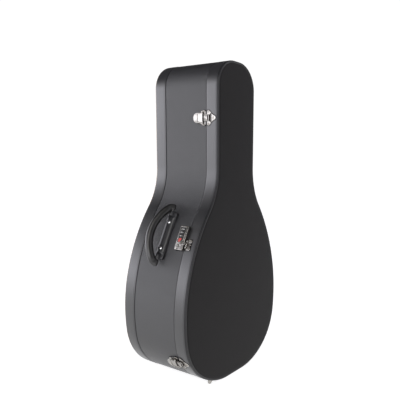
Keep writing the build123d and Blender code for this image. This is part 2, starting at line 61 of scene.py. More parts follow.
# ---------------------------------------------------------------------------
# the case's outline, as in the CAD part (millimetres)
# ---------------------------------------------------------------------------
HEIGHT, DEPTH = 800.0, 204.8
YB, YF = DEPTH / 2, -DEPTH / 2
TAIL_LAND = 31.0
ARCS = [(169.9, 39.16), (144.2, 43.13), (403.0, 21.71), (462.0, 22.02)]
WAIST_R, HEAD_R = 171.0, 63.0
SEAM = -66.2
STRIP = 35.5
WELT_D, WELT_W = 6.0, 4.5


def segments():
    segs = []
    x, z, h = 0.0, 0.0, 0.0
    segs.append(("l", x, z, h, TAIL_LAND))
    x += TAIL_LAND
    for r, s in ARCS:
        segs.append(("a", x, z, h, (r, math.radians(s))))
        cx, cz = x - r * math.sin(h), z + r * math.cos(h)
        h += math.radians(s)
        x, z = cx + r * math.sin(h), cz - r * math.cos(h)
    sw = h - math.pi / 2
    segs.append(("a", x, z, h, (-WAIST_R, -sw)))
    r = -WAIST_R
    cx, cz = x - r * math.sin(h), z + r * math.cos(h)
    h = math.pi / 2
    x, z = cx + r * math.sin(h), cz - r * math.cos(h)
    neck = HEIGHT - HEAD_R - z
    segs.append(("l", x, z, h, neck))
    z += neck
    segs.append(("a", x, z, h, (HEAD_R, math.pi / 2)))
    segs.append(("l", x - HEAD_R, z + HEAD_R, math.pi, x - HEAD_R))
    return segs


SEGS = segments()
LENS = [d if k == "l" else abs(d[0] * d[1]) for k, x, z, h, d in SEGS]
HALF = sum(LENS)


def at_arc(s):
    for (kind, x, z, h, d), length in zip(SEGS, LENS):
        if s <= length + 1e-9:
            if kind == "l":
                return x + s * math.cos(h), z + s * math.sin(h), h
            r = d[0]
            cx, cz = x - r * math.sin(h), z + r * math.cos(h)
            hh = h + s / r
            return cx + r * math.sin(hh), cz - r * math.cos(hh), hh
        s -= length
    return 0.0, HEIGHT, math.pi


def arc_at_z(zz):
    total = 0.0
    for i, (kind, x, z, h, d) in enumerate(SEGS):
        if i == 6:
            return total + (zz - z)
        total += LENS[i]


def loop(n=720):
    """Closed outline, counter-clockwise seen from the lid: position, outward normal, distance."""
    pts, nrm, dist = [], [], []
    for k in range(n):
        s = 2 * HALF * k / n
        if s <= HALF:
            x, z, h = at_arc(s)
            pts.append((x, z))
            nrm.append((math.sin(h), -math.cos(h)))
        else:
            x, z, h = at_arc(2 * HALF - s)
            pts.append((-x, z))
            nrm.append((-math.sin(h), -math.cos(h)))
        dist.append(s)
    return np.array(pts), np.array(nrm), np.array(dist)


LP, LN, LD = loop()


class Fr:
    """Local frame of a fitting: a towards the head, y towards the back, n out of the wall."""

    def __init__(self, arc, y, side=-1):
        x, z, h = at_arc(arc)
        self.o = np.array([side * x, y, z])
        self.t = np.array([side * math.cos(h), 0, math.sin(h)])
        self.n = np.array([side * math.sin(h), 0, -math.cos(h)])

    def p(self, a, y, n):
        return self.o + a * self.t + np.array([0, y, 0]) + n * self.n


# ---------------------------------------------------------------------------
# mesh helpers
# ---------------------------------------------------------------------------
def obj_from(name, verts, faces, mat, body, uvs=None, smooth=40.0, weld=0.0):
    me = bpy.data.meshes.new(name)
    me.from_pydata([tuple(float(c) * MM for c in v) for v in verts], [], [tuple(int(i) for i in f) for f in faces])
    if uvs is not None:
        layer = me.uv_layers.new(name="UVMap")
        for poly in me.polygons:
            for li, vi in zip(poly.loop_indices, poly.vertices):
                layer.data[li].uv = uvs[vi]
    me.validate()
    bm = bmesh.new()
    bm.from_mesh(me)
    if weld:
        bmesh.ops.remove_doubles(bm, verts=bm.verts, dist=weld * MM)
    bmesh.ops.recalc_face_normals(bm, faces=bm.faces)
    bm.to_mesh(me)
    bm.free()
    for poly in me.polygons:
        poly.use_smooth = True
    me.set_sharp_from_angle(angle=math.radians(smooth))
    o = bpy.data.objects.new(name, me)
    bpy.context.scene.collection.objects.link(o)
    if mat is not None:
        me.materials.append(mat)
    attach(o, body)
    return o


def sweep(name, prof, mat, body, closed=True, smooth=40.0, every=1):
    """Profile of (offset inward, y) swept round the outline."""
    idx = np.arange(0, len(LP), every)
    m = len(prof)
    verts, uvs = [], []
    run = [0.0]
    for i in range(1, m):
        run.append(run[-1] + math.hypot(prof[i][0] - prof[i - 1][0], prof[i][1] - prof[i - 1][1]))
    for k in idx:
        for j, (off, y) in enumerate(prof):
            p = LP[k] - off * LN[k]
            verts.append((p[0], y, p[1]))
            uvs.append((LD[k] * MM, run[j] * MM))
    faces = []
    n = len(idx)
    for k in range(n):
        k2 = (k + 1) % n
        for j in range(m if closed else m - 1):
            j2 = (j + 1) % m
            faces.append((k * m + j, k2 * m + j, k2 * m + j2, k * m + j2))
    return obj_from(name, verts, faces, mat, body, uvs, smooth)


def arc_pts(cx, cy, r, a0, a1, n=6):
    return [(cx + r * math.cos(math.radians(a0 + (a1 - a0) * i / n)),
             cy + r * math.sin(math.radians(a0 + (a1 - a0) * i / n))) for i in range(n + 1)]


def rounded(pts, r, n=5):
    """Polygon with its corners rounded; r is one radius or one per corner."""
    out = []
    m = len(pts)
    rs = r if isinstance(r, (list, tuple)) else [r] * m
    for i in range(m):
        p, c, q = (np.array(pts[i - 1], float), np.array(pts[i], float), np.array(pts[(i + 1) % m], float))
        u, v = p - c, q - c
        lu, lv = np.linalg.norm(u), np.linalg.norm(v)
        u, v = u / lu, v / lv
        cosang = float(np.clip(u @ v, -1, 1))
        ang = math.acos(cosang)
        if rs[i] <= 0 or ang > math.pi - 0.02:
            out.append(tuple(c))
            continue
        t = min(rs[i] / math.tan(ang / 2), 0.49 * lu, 0.49 * lv)
        a, b = c + u * t, c + v * t
        for k in range(n + 1):
            w = k / n
            out.append(tuple((1 - w) ** 2 * a + 2 * w * (1 - w) * c + w * w * b))
    return out


def mirror_a(pts):
    """Right half (a >= 0) from front to back, closed with its mirror image."""
    left = [(-a, y) for a, y in reversed(pts) if a > 1e-6]
    return pts + left


def plate(name, fr, outline, n0, n1, mat, body, edge=0.35, lift=None, inset=None, smooth=40.0):
    """Plate with a rolled edge on both faces, in a fitting's local frame."""
    pts = np.array(outline)
    m = len(pts)
    area = 0.5 * np.sum(pts[:, 0] * np.roll(pts[:, 1], -1) - np.roll(pts[:, 0], -1) * pts[:, 1])
    if area < 0:
        pts = pts[::-1]
    tang = np.roll(pts, -1, 0) - np.roll(pts, 1, 0)
    tang /= np.linalg.norm(tang, axis=1)[:, None] + 1e-12
    out = np.c_[tang[:, 1], -tang[:, 0]]
    rings = []
    for k in range(4):
        a = math.pi / 2 * k / 3
        rings.append((-edge * (1 - math.sin(a)), n0 + edge * (1 - math.cos(a))))
    for k in range(4):
        a = math.pi / 2 * k / 3
        rings.append((-edge * (1 - math.cos(a)), n1 - edge * (1 - math.sin(a))))
    if inset:
        w, d = inset
        rings.append((-edge - w, n1))
        rings.append((-edge - w - 0.25, n1 - d * 0.35))
        rings.append((-edge - w - 0.7, n1 - d))
    verts, faces = [], []
    for off, n in rings:
        for p, q in zip(pts, out):
            a, y = p + off * q
            nn = n + (lift(a, y) if lift else 0.0)
            verts.append(fr.p(a, y, nn))
    for r in range(len(rings) - 1):
        for i in range(m):
            j = (i + 1) % m
            faces.append((r * m + i, r * m + j, (r + 1) * m + j, (r + 1) * m + i))
    faces.append(tuple(range(m - 1, -1, -1)))
    top = (len(rings) - 1) * m
    faces.append(tuple(top + i for i in range(m)))
    return obj_from(name, verts, faces, mat, body, None, smooth)


def revolve(name, fr, a, y, n, prof, mat, body, seg=28, axis="n"):
    """Profile of (radius, height) turned about an axis of the fitting's frame."""
    verts, faces = [], []
    m = len(prof)
    for k in range(seg):
        c, s = math.cos(2 * math.pi * k / seg), math.sin(2 * math.pi * k / seg)
        for r, h in prof:
            if axis == "n":
                verts.append(fr.p(a + r * c, y + r * s, n + h))
            else:
                verts.append(fr.p(a + h, y + r * c, n + r * s))
    for k in range(seg):
        k2 = (k + 1) % seg
        for j in range(m - 1):
            faces.append((k * m + j, k2 * m + j, k2 * m + j + 1, k * m + j + 1))
    faces.append(tuple(k * m for k in range(seg)))
    faces.append(tuple(k * m + m - 1 for k in range(seg - 1, -1, -1)))
    return obj_from(name, verts, faces, mat, body, None, 50.0)


def join(name, objs, body):
    """One piece from several."""
    bm = bmesh.new()
    mats = []
    for o in objs:
        tmp = o.data.copy()
        base = len(mats)
        for mt in o.data.materials:
            if mt not in mats:
                mats.append(mt)
        remap = [mats.index(mt) for mt in o.data.materials]
        before = len(bm.faces)
        bm.from_mesh(tmp)
        bm.faces.ensure_lookup_table()
        for f in bm.faces[before:]:
            f.material_index = remap[f.material_index] if remap else 0
        bpy.data.meshes.remove(tmp)
    me = bpy.data.meshes.new(name)
    bm.to_mesh(me)
    bm.free()
    for mt in mats:
        me.materials.append(mt)
    for poly in me.polygons:
        poly.use_smooth = True
    me.set_sharp_from_angle(angle=math.radians(40))
    for o in objs:
        bpy.data.objects.remove(o, do_unlink=True)
    o = bpy.data.objects.new(name, me)
    bpy.context.scene.collection.objects.link(o)
    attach(o, body)
    return o


def bar(name, fr, a0, a1, y0, y1, n0, n1, mat, body, r=0.4, slot=None):
    """Block with rolled edges."""
    o = plate(name, fr, rounded([(a0, y0), (a1, y0), (a1, y1), (a0, y1)], r, 4), n0, n1, mat, body,
              edge=min(r, (n1 - n0) * 0.45, 0.6))
    return o


def rod(name, fr, a0, a1, y, n, r, mat, body, seg=28):
    e = min(0.35, r * 0.3)
    prof = [(r - e, 0), (r - e * 0.3, e * 0.3), (r, e), (r, a1 - a0 - e), (r - e * 0.3, a1 - a0 - e * 0.3), (r - e, a1 - a0)]
    return revolve(name, fr, a0, y, n, prof, mat, body, seg=seg, axis="a")


# ---------------------------------------------------------------------------
# materials
# ---------------------------------------------------------------------------
def new_mat(name):
    m = bpy.data.materials.new(name)
    m.use_nodes = True
    nt = m.node_tree
    nt.nodes.clear()
    out = nt.nodes.new("ShaderNodeOutputMaterial")
    bsdf = nt.nodes.new("ShaderNodeBsdfPrincipled")
    nt.links.new(bsdf.outputs[0], out.inputs[0])
    return m, nt, bsdf


def N(nt, kind, **props):
    n = nt.nodes.new(kind)
    for k, v in props.items():
        if k in n.inputs:
            n.inputs[k].default_value = v
        else:
            setattr(n, k, v)
    return n


def ramp(nt, src, stops):
    r = nt.nodes.new("ShaderNodeValToRGB")
    el = r.color_ramp.elements
    while len(el) > 1:
        el.remove(el[-1])
    el[0].position, el[0].color = stops[0][0], (*stops[0][1], 1)
    for pos, col in stops[1:]:
        e = el.new(pos)
        e.color = (*col, 1)
    nt.links.new(src, r.inputs[0])
    return r


def mix_rgb(nt, fac, a, b, mode="MIX"):
    m = nt.nodes.new("ShaderNodeMix")
    m.data_type = "RGBA"
    m.blend_type = mode
    if isinstance(fac, (int, float)):
        m.inputs[0].default_value = fac
    else:
        nt.links.new(fac, m.inputs[0])
    for sock, v in ((m.inputs[6], a), (m.inputs[7], b)):
        if isinstance(v, tuple):
            sock.default_value = (*v, 1)
        else:
            nt.links.new(v, sock)
    return m.outputs[2]


def math_node(nt, op, a, b=None, c=None):
    m = nt.nodes.new("ShaderNodeMath")
    m.operation = op
    for sock, v in zip(m.inputs, (a, b, c)):
        if v is None:
            continue
        if isinstance(v, (int, float)):
            sock.default_value = v
        else:
            nt.links.new(v, sock)
    return m.outputs[0]


def bump(nt, bsdf, layers):
    """layers: (height socket, strength, distance in metres)."""
    prev = None
    for h, strength, dist in layers:
        b = nt.nodes.new("ShaderNodeBump")
        b.inputs["Strength"].default_value = strength
        b.inputs["Distance"].default_value = dist
        nt.links.new(h, b.inputs["Height"])
        if prev is not None:
            nt.links.new(prev, b.inputs["Normal"])
        prev = b.outputs[0]
    nt.links.new(prev, bsdf.inputs["Normal"])


def leathercloth(name, dark, light, rough, grain, grain_strength, weave=0.0, spec=0.5, coat=0.0, wear=0.25, coat_rough=0.3):
    m, nt, b = new_mat(name)
    tc = nt.nodes.new("ShaderNodeTexCoord")
    big = N(nt, "ShaderNodeTexNoise", Scale=9.0, Detail=4.0, Roughness=0.6)
    nt.links.new(tc.outputs["Object"], big.inputs["Vector"])
    fine = N(nt, "ShaderNodeTexNoise", Scale=grain * 0.55, Detail=5.0, Roughness=0.65)
    nt.links.new(tc.outputs["Object"], fine.inputs["Vector"])
    cells = N(nt, "ShaderNodeTexVoronoi", Scale=grain)
    cells.feature = "DISTANCE_TO_EDGE"
    nt.links.new(tc.outputs["Object"], cells.inputs["Vector"])
    soft = N(nt, "ShaderNodeTexVoronoi", Scale=grain * 0.62)
    soft.feature = "SMOOTH_F1"
    soft.inputs["Smoothness"].default_value = 0.6
    nt.links.new(tc.outputs["Object"], soft.inputs["Vector"])
    pit = ramp(nt, cells.outputs["Distance"], [(0.0, (0, 0, 0)), (0.12, (0.75, 0.75, 0.75)), (0.4, (1, 1, 1))])
    col = mix_rgb(nt, ramp(nt, big.outputs[0], [(0.3, (0, 0, 0)), (0.7, (1, 1, 1))]).outputs[0], dark, light)
    shade = ramp(nt, cells.outputs["Distance"], [(0.0, (0.62, 0.62, 0.64)), (0.15, (1, 1, 1))])
    col = mix_rgb(nt, 0.75, col, shade.outputs[0], "MULTIPLY")
    # rubbed places: lighter, drier
    rub = N(nt, "ShaderNodeTexNoise", Scale=34.0, Detail=7.0, Roughness=0.72)
    nt.links.new(tc.outputs["Object"], rub.inputs["Vector"])
    rubm = ramp(nt, rub.outputs[0], [(0.60, (0, 0, 0)), (0.78, (1, 1, 1))])
    col = mix_rgb(nt, math_node(nt, "MULTIPLY", rubm.outputs[0], wear), col, tuple(min(1.0, c * 1.9 + 0.012) for c in light))
    nt.links.new(col, b.inputs["Base Color"])
    r = math_node(nt, "MULTIPLY_ADD", big.outputs[0], 0.16, rough - 0.08)
    r = math_node(nt, "MULTIPLY_ADD", rubm.outputs[0], 0.10 * wear * 2, r)
    r = math_node(nt, "MULTIPLY_ADD", fine.outputs[0], 0.10, math_node(nt, "SUBTRACT", r, 0.05))
    nt.links.new(r, b.inputs["Roughness"])
    b.inputs["Specular IOR Level"].default_value = spec
    b.inputs["Coat Weight"].default_value = coat
    b.inputs["Coat Roughness"].default_value = coat_rough
    layers = [(pit.outputs[0], grain_strength, 0.00025), (soft.outputs["Distance"], grain_strength * 0.6, 0.0004),
              (fine.outputs[0], grain_strength * 0.7, 0.0003), (big.outputs[0], 0.12, 0.004)]
    if weave:
        uv = nt.nodes.new("ShaderNodeUVMap")
        rot = N(nt, "ShaderNodeMapping")
        rot.inputs["Rotation"].default_value = (0, 0, math.radians(45))
        nt.links.new(uv.outputs[0], rot.inputs[0])
        w1 = N(nt, "ShaderNodeTexWave", Scale=260.0, Distortion=1.2, Detail=2.0)
        w1.bands_direction = "X"
        w2 = N(nt, "ShaderNodeTexWave", Scale=260.0, Distortion=1.2, Detail=2.0)
        w2.bands_direction = "Y"
        nt.links.new(rot.outputs[0], w1.inputs["Vector"])
        nt.links.new(rot.outputs[0], w2.inputs["Vector"])
        mx = math_node(nt, "MAXIMUM", w1.outputs["Fac"], w2.outputs["Fac"])
        layers.append((mx, weave, 0.0004))
    bump(nt, b, layers)
    return m


def metal(name, col, rough, scale=1.0, tarnish=(0.32, 0.24, 0.16), amount=0.25):
    m, nt, b = new_mat(name)
    tc = nt.nodes.new("ShaderNodeTexCoord")
    big = N(nt, "ShaderNodeTexNoise", Scale=160.0 * scale, Detail=6.0, Roughness=0.65)
    nt.links.new(tc.outputs["Object"], big.inputs["Vector"])
    scr = N(nt, "ShaderNodeTexNoise", Scale=900.0 * scale, Detail=3.0, Roughness=0.5)
    mp = N(nt, "ShaderNodeMapping")
    mp.inputs["Scale"].default_value = (1.0, 9.0, 1.0)
    nt.links.new(tc.outputs["Object"], mp.inputs[0])
    nt.links.new(mp.outputs[0], scr.inputs["Vector"])
    mask = ramp(nt, big.outputs[0], [(0.5, (0, 0, 0)), (0.75, (1, 1, 1))])
    c = mix_rgb(nt, math_node(nt, "MULTIPLY", mask.outputs[0], amount), col, tarnish)
    # painted shade: ambient occlusion darkens and browns the base colour in crevices and round rivets
    ao = N(nt, "ShaderNodeAmbientOcclusion", Distance=0.003)
    ao.samples = 8
    crevice_shade = ramp(nt, ao.outputs["AO"], [(0.15, (0.42, 0.33, 0.26)), (0.75, (1, 1, 1))])
    c = mix_rgb(nt, 0.6, c, crevice_shade.outputs[0], "MULTIPLY")
    nt.links.new(c, b.inputs["Base Color"])
    b.inputs["Metallic"].default_value = 1.0
    r = math_node(nt, "MULTIPLY_ADD", big.outputs[0], 0.14, rough - 0.06)
    r = math_node(nt, "MULTIPLY_ADD", scr.outputs[0], 0.08, math_node(nt, "SUBTRACT", r, 0.04))
    nt.links.new(r, b.inputs["Roughness"])
    bump(nt, b, [(scr.outputs[0], 0.12, 0.00008), (big.outputs[0], 0.10, 0.0004)])
    return m


def plastic(name, col, rough, spec=0.5, coat=0.3, tex=1400.0, strength=0.12, coat_rough=0.2):
    m, nt, b = new_mat(name)
    tc = nt.nodes.new("ShaderNodeTexCoord")
    fine = N(nt, "ShaderNodeTexNoise", Scale=tex, Detail=3.0, Roughness=0.5)
    nt.links.new(tc.outputs["Object"], fine.inputs["Vector"])
    big = N(nt, "ShaderNodeTexNoise", Scale=45.0, Detail=6.0, Roughness=0.65)
    nt.links.new(tc.outputs["Object"], big.inputs["Vector"])
    c = mix_rgb(nt, ramp(nt, big.outputs[0], [(0.35, (0, 0, 0)), (0.75, (1, 1, 1))]).outputs[0], col,
                tuple(min(1.0, v * 1.5 + 0.004) for v in col))
    nt.links.new(c, b.inputs["Base Color"])
    nt.links.new(math_node(nt, "MULTIPLY_ADD", big.outputs[0], 0.18, rough - 0.09), b.inputs["Roughness"])
    b.inputs["Specular IOR Level"].default_value = spec
    b.inputs["Coat Weight"].default_value = coat
    b.inputs["Coat Roughness"].default_value = coat_rough
    bump(nt, b, [(fine.outputs[0], strength, 0.0001), (big.outputs[0], 0.08, 0.001)])
    return m


def plush(name, col):
    m, nt, b = new_mat(name)
    tc = nt.nodes.new("ShaderNodeTexCoord")
    pile = N(nt, "ShaderNodeTexNoise", Scale=1500.0, Detail=2.0, Roughness=0.6)
    nap = N(nt, "ShaderNodeTexNoise", Scale=14.0, Detail=5.0, Roughness=0.6, Distortion=0.6)
    tuft = N(nt, "ShaderNodeTexVoronoi", Scale=620.0)
    for n in (pile, nap, tuft):
        nt.links.new(tc.outputs["Object"], n.inputs["Vector"])
    c = mix_rgb(nt, ramp(nt, nap.outputs[0], [(0.35, (0, 0, 0)), (0.7, (1, 1, 1))]).outputs[0],
                tuple(v * 0.6 for v in col), tuple(min(1, v * 1.35) for v in col))
    c = mix_rgb(nt, 0.5, c, ramp(nt, tuft.outputs["Distance"], [(0.0, (1, 1, 1)), (0.7, (0.45, 0.45, 0.45))]).outputs[0], "MULTIPLY")
    nt.links.new(c, b.inputs["Base Color"])
    b.inputs["Roughness"].default_value = 0.92
    b.inputs["Specular IOR Level"].default_value = 0.2
    b.inputs["Sheen Weight"].default_value = 0.7
    b.inputs["Sheen Roughness"].default_value = 0.35
    b.inputs["Sheen Tint"].default_value = (*[min(1, v * 3 + 0.15) for v in col], 1)
    bump(nt, b, [(pile.outputs[0], 0.5, 0.0006), (tuft.outputs["Distance"], 0.5, 0.0008), (nap.outputs[0], 0.3, 0.003)])
    return m


def ply(name):
    m, nt, b = new_mat(name)
    tc = nt.nodes.new("ShaderNodeTexCoord")
    mp = N(nt, "ShaderNodeMapping")
    mp.inputs["Scale"].default_value = (14.0, 14.0, 2.2)
    nt.links.new(tc.outputs["Object"], mp.inputs[0])
    g = N(nt, "ShaderNodeTexNoise", Scale=6.0, Detail=9.0, Roughness=0.7, Distortion=0.8)
    nt.links.new(mp.outputs[0], g.inputs["Vector"])
    w = N(nt, "ShaderNodeTexWave", Scale=520.0, Distortion=0.6, Detail=3.0)
    w.bands_direction = "Y"
    nt.links.new(tc.outputs["Object"], w.inputs["Vector"])
    c = ramp(nt, g.outputs[0], [(0.3, (0.42, 0.27, 0.14)), (0.5, (0.62, 0.44, 0.26)), (0.75, (0.74, 0.57, 0.37))])
    c2 = mix_rgb(nt, 0.35, c.outputs[0], ramp(nt, w.outputs["Fac"], [(0.0, (0.45, 0.4, 0.35)), (0.6, (1, 1, 1))]).outputs[0], "MULTIPLY")
    nt.links.new(c2, b.inputs["Base Color"])
    nt.links.new(math_node(nt, "MULTIPLY_ADD", g.outputs[0], 0.2, 0.5), b.inputs["Roughness"])
    bump(nt, b, [(g.outputs[0], 0.25, 0.0006)])
    return m


M_TOLEX = leathercloth("tolex_side", (0.010, 0.010, 0.0115), (0.017, 0.017, 0.0185), 0.42, 900.0, 0.55, weave=0.3, spec=0.80, wear=0.22)
# near-black matte vinyl: real turned-in vinyl, darkened to paint the shade in grooves, gaps and round fittings
M_SHADOW_VINYL = leathercloth("dark_vinyl_painted_shade", (0.0012, 0.0012, 0.0014), (0.002, 0.002, 0.0022), 0.75, 1700.0, 0.1, spec=0.12, wear=0.0)
M_STRIP = leathercloth("strip_vinyl", (0.012, 0.012, 0.0135), (0.018, 0.018, 0.0195), 0.34, 1700.0, 0.10, spec=0.82, coat=0.25, wear=0.12, coat_rough=0.32)
M_FACE = leathercloth("face_vinyl", (0.0105, 0.0097, 0.0098), (0.0150, 0.0138, 0.0138), 0.55, 1250.0, 0.26, spec=0.13, wear=0.10)
M_WELT = leathercloth("welt_vinyl", (0.006, 0.006, 0.007), (0.010, 0.010, 0.011), 0.42, 1500.0, 0.15, spec=0.45, wear=0.1)
M_NICKEL = metal("nickel_plate", (0.34, 0.330, 0.311), 0.22)
M_NICKEL2 = metal("nickel_rivet", (0.30, 0.275, 0.24), 0.26, scale=1.6)
M_HINGE = metal("hinge_nickel", (0.56, 0.54, 0.50), 0.28, amount=0.3)
M_STEEL = metal("pin_steel", (0.60, 0.60, 0.60), 0.30, tarnish=(0.3, 0.28, 0.26))
M_CHROME = metal("screw_chrome", (0.90, 0.90, 0.90), 0.10, amount=0.1)
M_ALU = metal("valance_aluminium", (0.72, 0.72, 0.74), 0.36, tarnish=(0.5, 0.5, 0.5), amount=0.15)
M_GRIP = plastic("handle_black", (0.0065, 0.006, 0.0055), 0.34, coat=0.25, tex=900.0, strength=0.2)
M_HBASE = plastic("handle_base_black", (0.011, 0.011, 0.012), 0.38, coat=0.2, tex=900.0, strength=0.25)
M_DIAL = plastic("dial_black", (0.014, 0.013, 0.012), 0.38, coat=0.2)
M_DIGIT = plastic("dial_digit_white", (0.78, 0.76, 0.70), 0.5, coat=0.0)
M_RED = plastic("index_red", (0.40, 0.045, 0.038), 0.42, coat=0.15)
M_DARK = plastic("shadow_rubber", (0.006, 0.006, 0.006), 0.6, coat=0.0)
M_PLUSH = plush("plush_burgundy", (0.115, 0.012, 0.020))
M_PLY = ply("plywood_birch")
M_TAB = leathercloth("tab_leather", (0.03, 0.018, 0.012), (0.05, 0.03, 0.02), 0.5, 1100.0, 0.4, wear=0.3)
M_THREAD = leathercloth("thread_black", (0.012, 0.012, 0.013), (0.02, 0.02, 0.022), 0.6, 2600.0, 0.5, wear=0.0)

CAD_MAT = {"plywood": M_PLY, "side_tolex": M_TOLEX, "strip_vinyl": M_STRIP, "back_tolex": M_TOLEX, "face_vinyl": M_FACE,
           "welt_vinyl": M_WELT, "plush": M_PLUSH, "valance_metal": M_ALU, "steel_pin": M_STEEL, "tab_leather": M_TAB,
           "nickel": M_NICKEL, "nickel_rivet": M_NICKEL2, "nickel_pin": M_NICKEL2, "hinge_nickel": M_HINGE,
           "handle_black": M_GRIP, "handle_base_black": M_HBASE, "screw_chrome": M_CHROME, "dial_black": M_DIAL,
           "index_red": M_RED}
SLOT_OF = {s["node"]: s["material_slot"] for s in REC["subparts"]}
for name, o in frame["nodes"].items():
    mt = CAD_MAT[SLOT_OF[name]]
    if len(o.material_slots) == 0:
        o.data.materials.append(mt)
    for sl in o.material_slots:
        sl.material = mt

# ---------------------------------------------------------------------------
# coverings
# ---------------------------------------------------------------------------
GA = YB - STRIP                      # front edge of the back strip

# side covering: turned in at the seam and at the groove beside the strip
prof = [(1.0, SEAM + 0.3), (0.45, SEAM + 0.35), (0.12, SEAM + 0.75), (0.0, SEAM + 1.6)]
prof += [(0.0, y) for y in np.linspace(SEAM + 6, GA - 8, 12)]
prof += [(0.0, GA - 3.4), (0.10, GA - 2.6), (0.45, GA - 2.15), (0.96, GA - 2.0)]
side = sweep("side_skin", prof + [(1.0, GA - 2.2), (1.0, SEAM + 0.5)], M_TOLEX, "body")
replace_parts(side, "side_covering")
# liner in the groove beside the back strip: turned-in vinyl, dark to paint the groove's shadow
sweep("groove_shadow_liner", [(0.88, GA - 2.4), (0.86, GA - 0.6), (0.88, GA + 0.9), (0.99, GA + 0.9), (0.99, GA - 2.4)], M_SHADOW_VINYL, "body")
# the seam: turned-in vinyl over the wall's edge, body side and lid side, in the near-black vinyl that paints the seam
# gap's shadow
sweep("seam_turn_in_body", [(0.5, SEAM + 0.62), (0.72, SEAM + 0.22), (1.2, SEAM + 0.12), (8.9, SEAM + 0.12), (8.9, SEAM + 0.3), (1.0, SEAM + 0.5)], M_SHADOW_VINYL, "body")
sweep("seam_turn_in_lid", [(0.5, SEAM - 0.62), (0.72, SEAM - 0.22), (1.2, SEAM - 0.12), (8.9, SEAM - 0.12), (8.9, SEAM - 0.3), (1.0, SEAM - 0.5)], M_SHADOW_VINYL, "lid")

# back edge strip: rolled front edge, crowned side, rounded corner, return on the back
prof = [(1.0, GA + 0.1), (0.55, GA + 0.05), (0.15, GA + 0.35), (-0.15, GA + 1.1), (-0.25, GA + 2.4)]
prof += [(-0.25 - 0.25 * math.sin(math.pi * t), GA + 2.4 + (STRIP - 7.4) * t) for t in np.linspace(0.08, 1, 9)]
prof += [(0.0 + 5.0 * (1 - math.cos(a)) - 0.25 * math.cos(a), YB - 5.0 + 5.0 * math.sin(a)) for a in np.linspace(0.12, math.pi / 2, 8)]
prof += [(8.0, YB + 0.15), (12.2, YB + 0.1), (13.3, YB - 0.05), (13.9, YB - 0.5), (14.0, YB - 1.0)]
strip = sweep("back_edge_strip", prof + [(6.0, YB - 1.0), (1.0, YB - 1.6)], M_STRIP, "body")
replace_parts(strip, "back_edge_binding")

# lid rim strip
WY = YF + WELT_D
prof = [(1.0, SEAM - 0.3), (0.45, SEAM - 0.35), (0.05, SEAM - 0.8), (-0.12, SEAM - 1.8)]
prof += [(-0.12 - 0.22 * math.sin(math.pi * t), SEAM - 1.8 + (WY + 2.0 - SEAM) * t) for t in np.linspace(0.1, 1, 9)]
prof += [(0.05, WY + 0.75), (0.5, WY + 0.35), (1.0, WY + 0.3)]
rimstrip = sweep("lid_rim_strip", prof + [(1.0, WY + 1.5), (1.0, SEAM - 1.0)], M_STRIP, "lid")
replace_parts(rimstrip, "lid_rim_covering")

# welt: two beads with a groove between them, on the corner of the lid
prof = [(0.98, WY + 0.9), (0.93, WY + 0.35)]
prof += [(0.55 - 1.0 * math.sin(a), WY - 1.55 + 1.6 * math.cos(a)) for a in np.linspace(0.25, math.pi - 0.2, 9)]
prof += [(0.75, WY - 3.15)]
prof += [(1.9 - 2.0 * math.cos(a), YF + 1.9 - 1.9 * math.sin(a)) for a in np.linspace(-0.35, math.pi / 2 + 0.5, 11)]
prof += [(3.9, YF + 0.55), (4.4, YF + 0.86), (5.4, YF + 0.92)]
welt = sweep("lid_welt", prof + [(5.4, YF + 0.98), (1.2, YF + 0.98), (0.99, YF + 3)], M_WELT, "lid", smooth=60.0)
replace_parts(welt, "lid_edge_welt")


def outline_poly(off, n=720):
    return LP - off * LN


def half_width(off):
    """Half width against height of the outline moved inward, for rows of a panel."""
    x = LP - off * LN
    right = x[: len(x) // 2 + 1]
    return right[:, 1], right[:, 0]


def panel(name, off, y_face, y_back, mat, body, crown=0.0, edge_r=3.0, edge_d=1.6, rows=150, cols=48, quilt=None, uvk=True):
    """Padded panel inside the outline: rows across, rounded at its edge."""
    zs_o, xs_o = half_width(off)
    z0, z1 = zs_o[0], zs_o[-1]
    t = (1 - np.cos(np.linspace(0, math.pi, rows + 1))) / 2
    zs = z0 + (z1 - z0) * t
    order = np.argsort(zs_o)
    ws = np.interp(zs, zs_o[order], xs_o[order])
    ring_pts = outline_poly(off, 720)
    seg_a = ring_pts
    seg_b = np.roll(ring_pts, -1, 0)
    d = seg_b - seg_a
    dl = (d ** 2).sum(1) + 1e-12
    verts, uvs, faces = [], [], []
    sgn = 1.0 if y_back > y_face else -1.0
    u = np.sin(np.linspace(-math.pi / 2, math.pi / 2, cols + 1))
    for z, w in zip(zs, ws):
        for q in u:
            p = np.array([q * w, z])
            tt = np.clip(((p - seg_a) * d).sum(1) / dl, 0, 1)
            dist = np.sqrt(((seg_a + tt[:, None] * d - p) ** 2).sum(1).min())
            e = min(dist / edge_r, 1.0)
            drop = edge_d * (1 - math.sqrt(max(0.0, 1 - (1 - e) ** 2)))
            up = crown * (1 - math.exp(-dist / 22.0))
            extra = quilt(p[0], p[1], dist) if quilt else 0.0
            verts.append((p[0], y_face + sgn * (drop - up - extra), p[1]))
            uvs.append((p[0] * MM, p[1] * MM))
    m = cols + 1
    for i in range(rows):
        for j in range(cols):
            faces.append((i * m + j, i * m + j + 1, (i + 1) * m + j + 1, (i + 1) * m + j))
    # turned-down border
    border = [0 * m + j for j in range(m)] + [i * m + cols for i in range(1, rows + 1)]
    border += [rows * m + j for j in range(cols - 1, -1, -1)] + [i * m for i in range(rows - 1, 0, -1)]
    base = len(verts)
    for k in border:
        x, y, z = verts[k]
        verts.append((x, y_back, z))
        uvs.append(uvs[k])
    nb = len(border)
    for k in range(nb):
        k2 = (k + 1) % nb
        faces.append((border[k], border[k2], base + k2, base + k))
    return obj_from(name, verts, faces, mat, body, uvs, 60.0, weld=0.01)


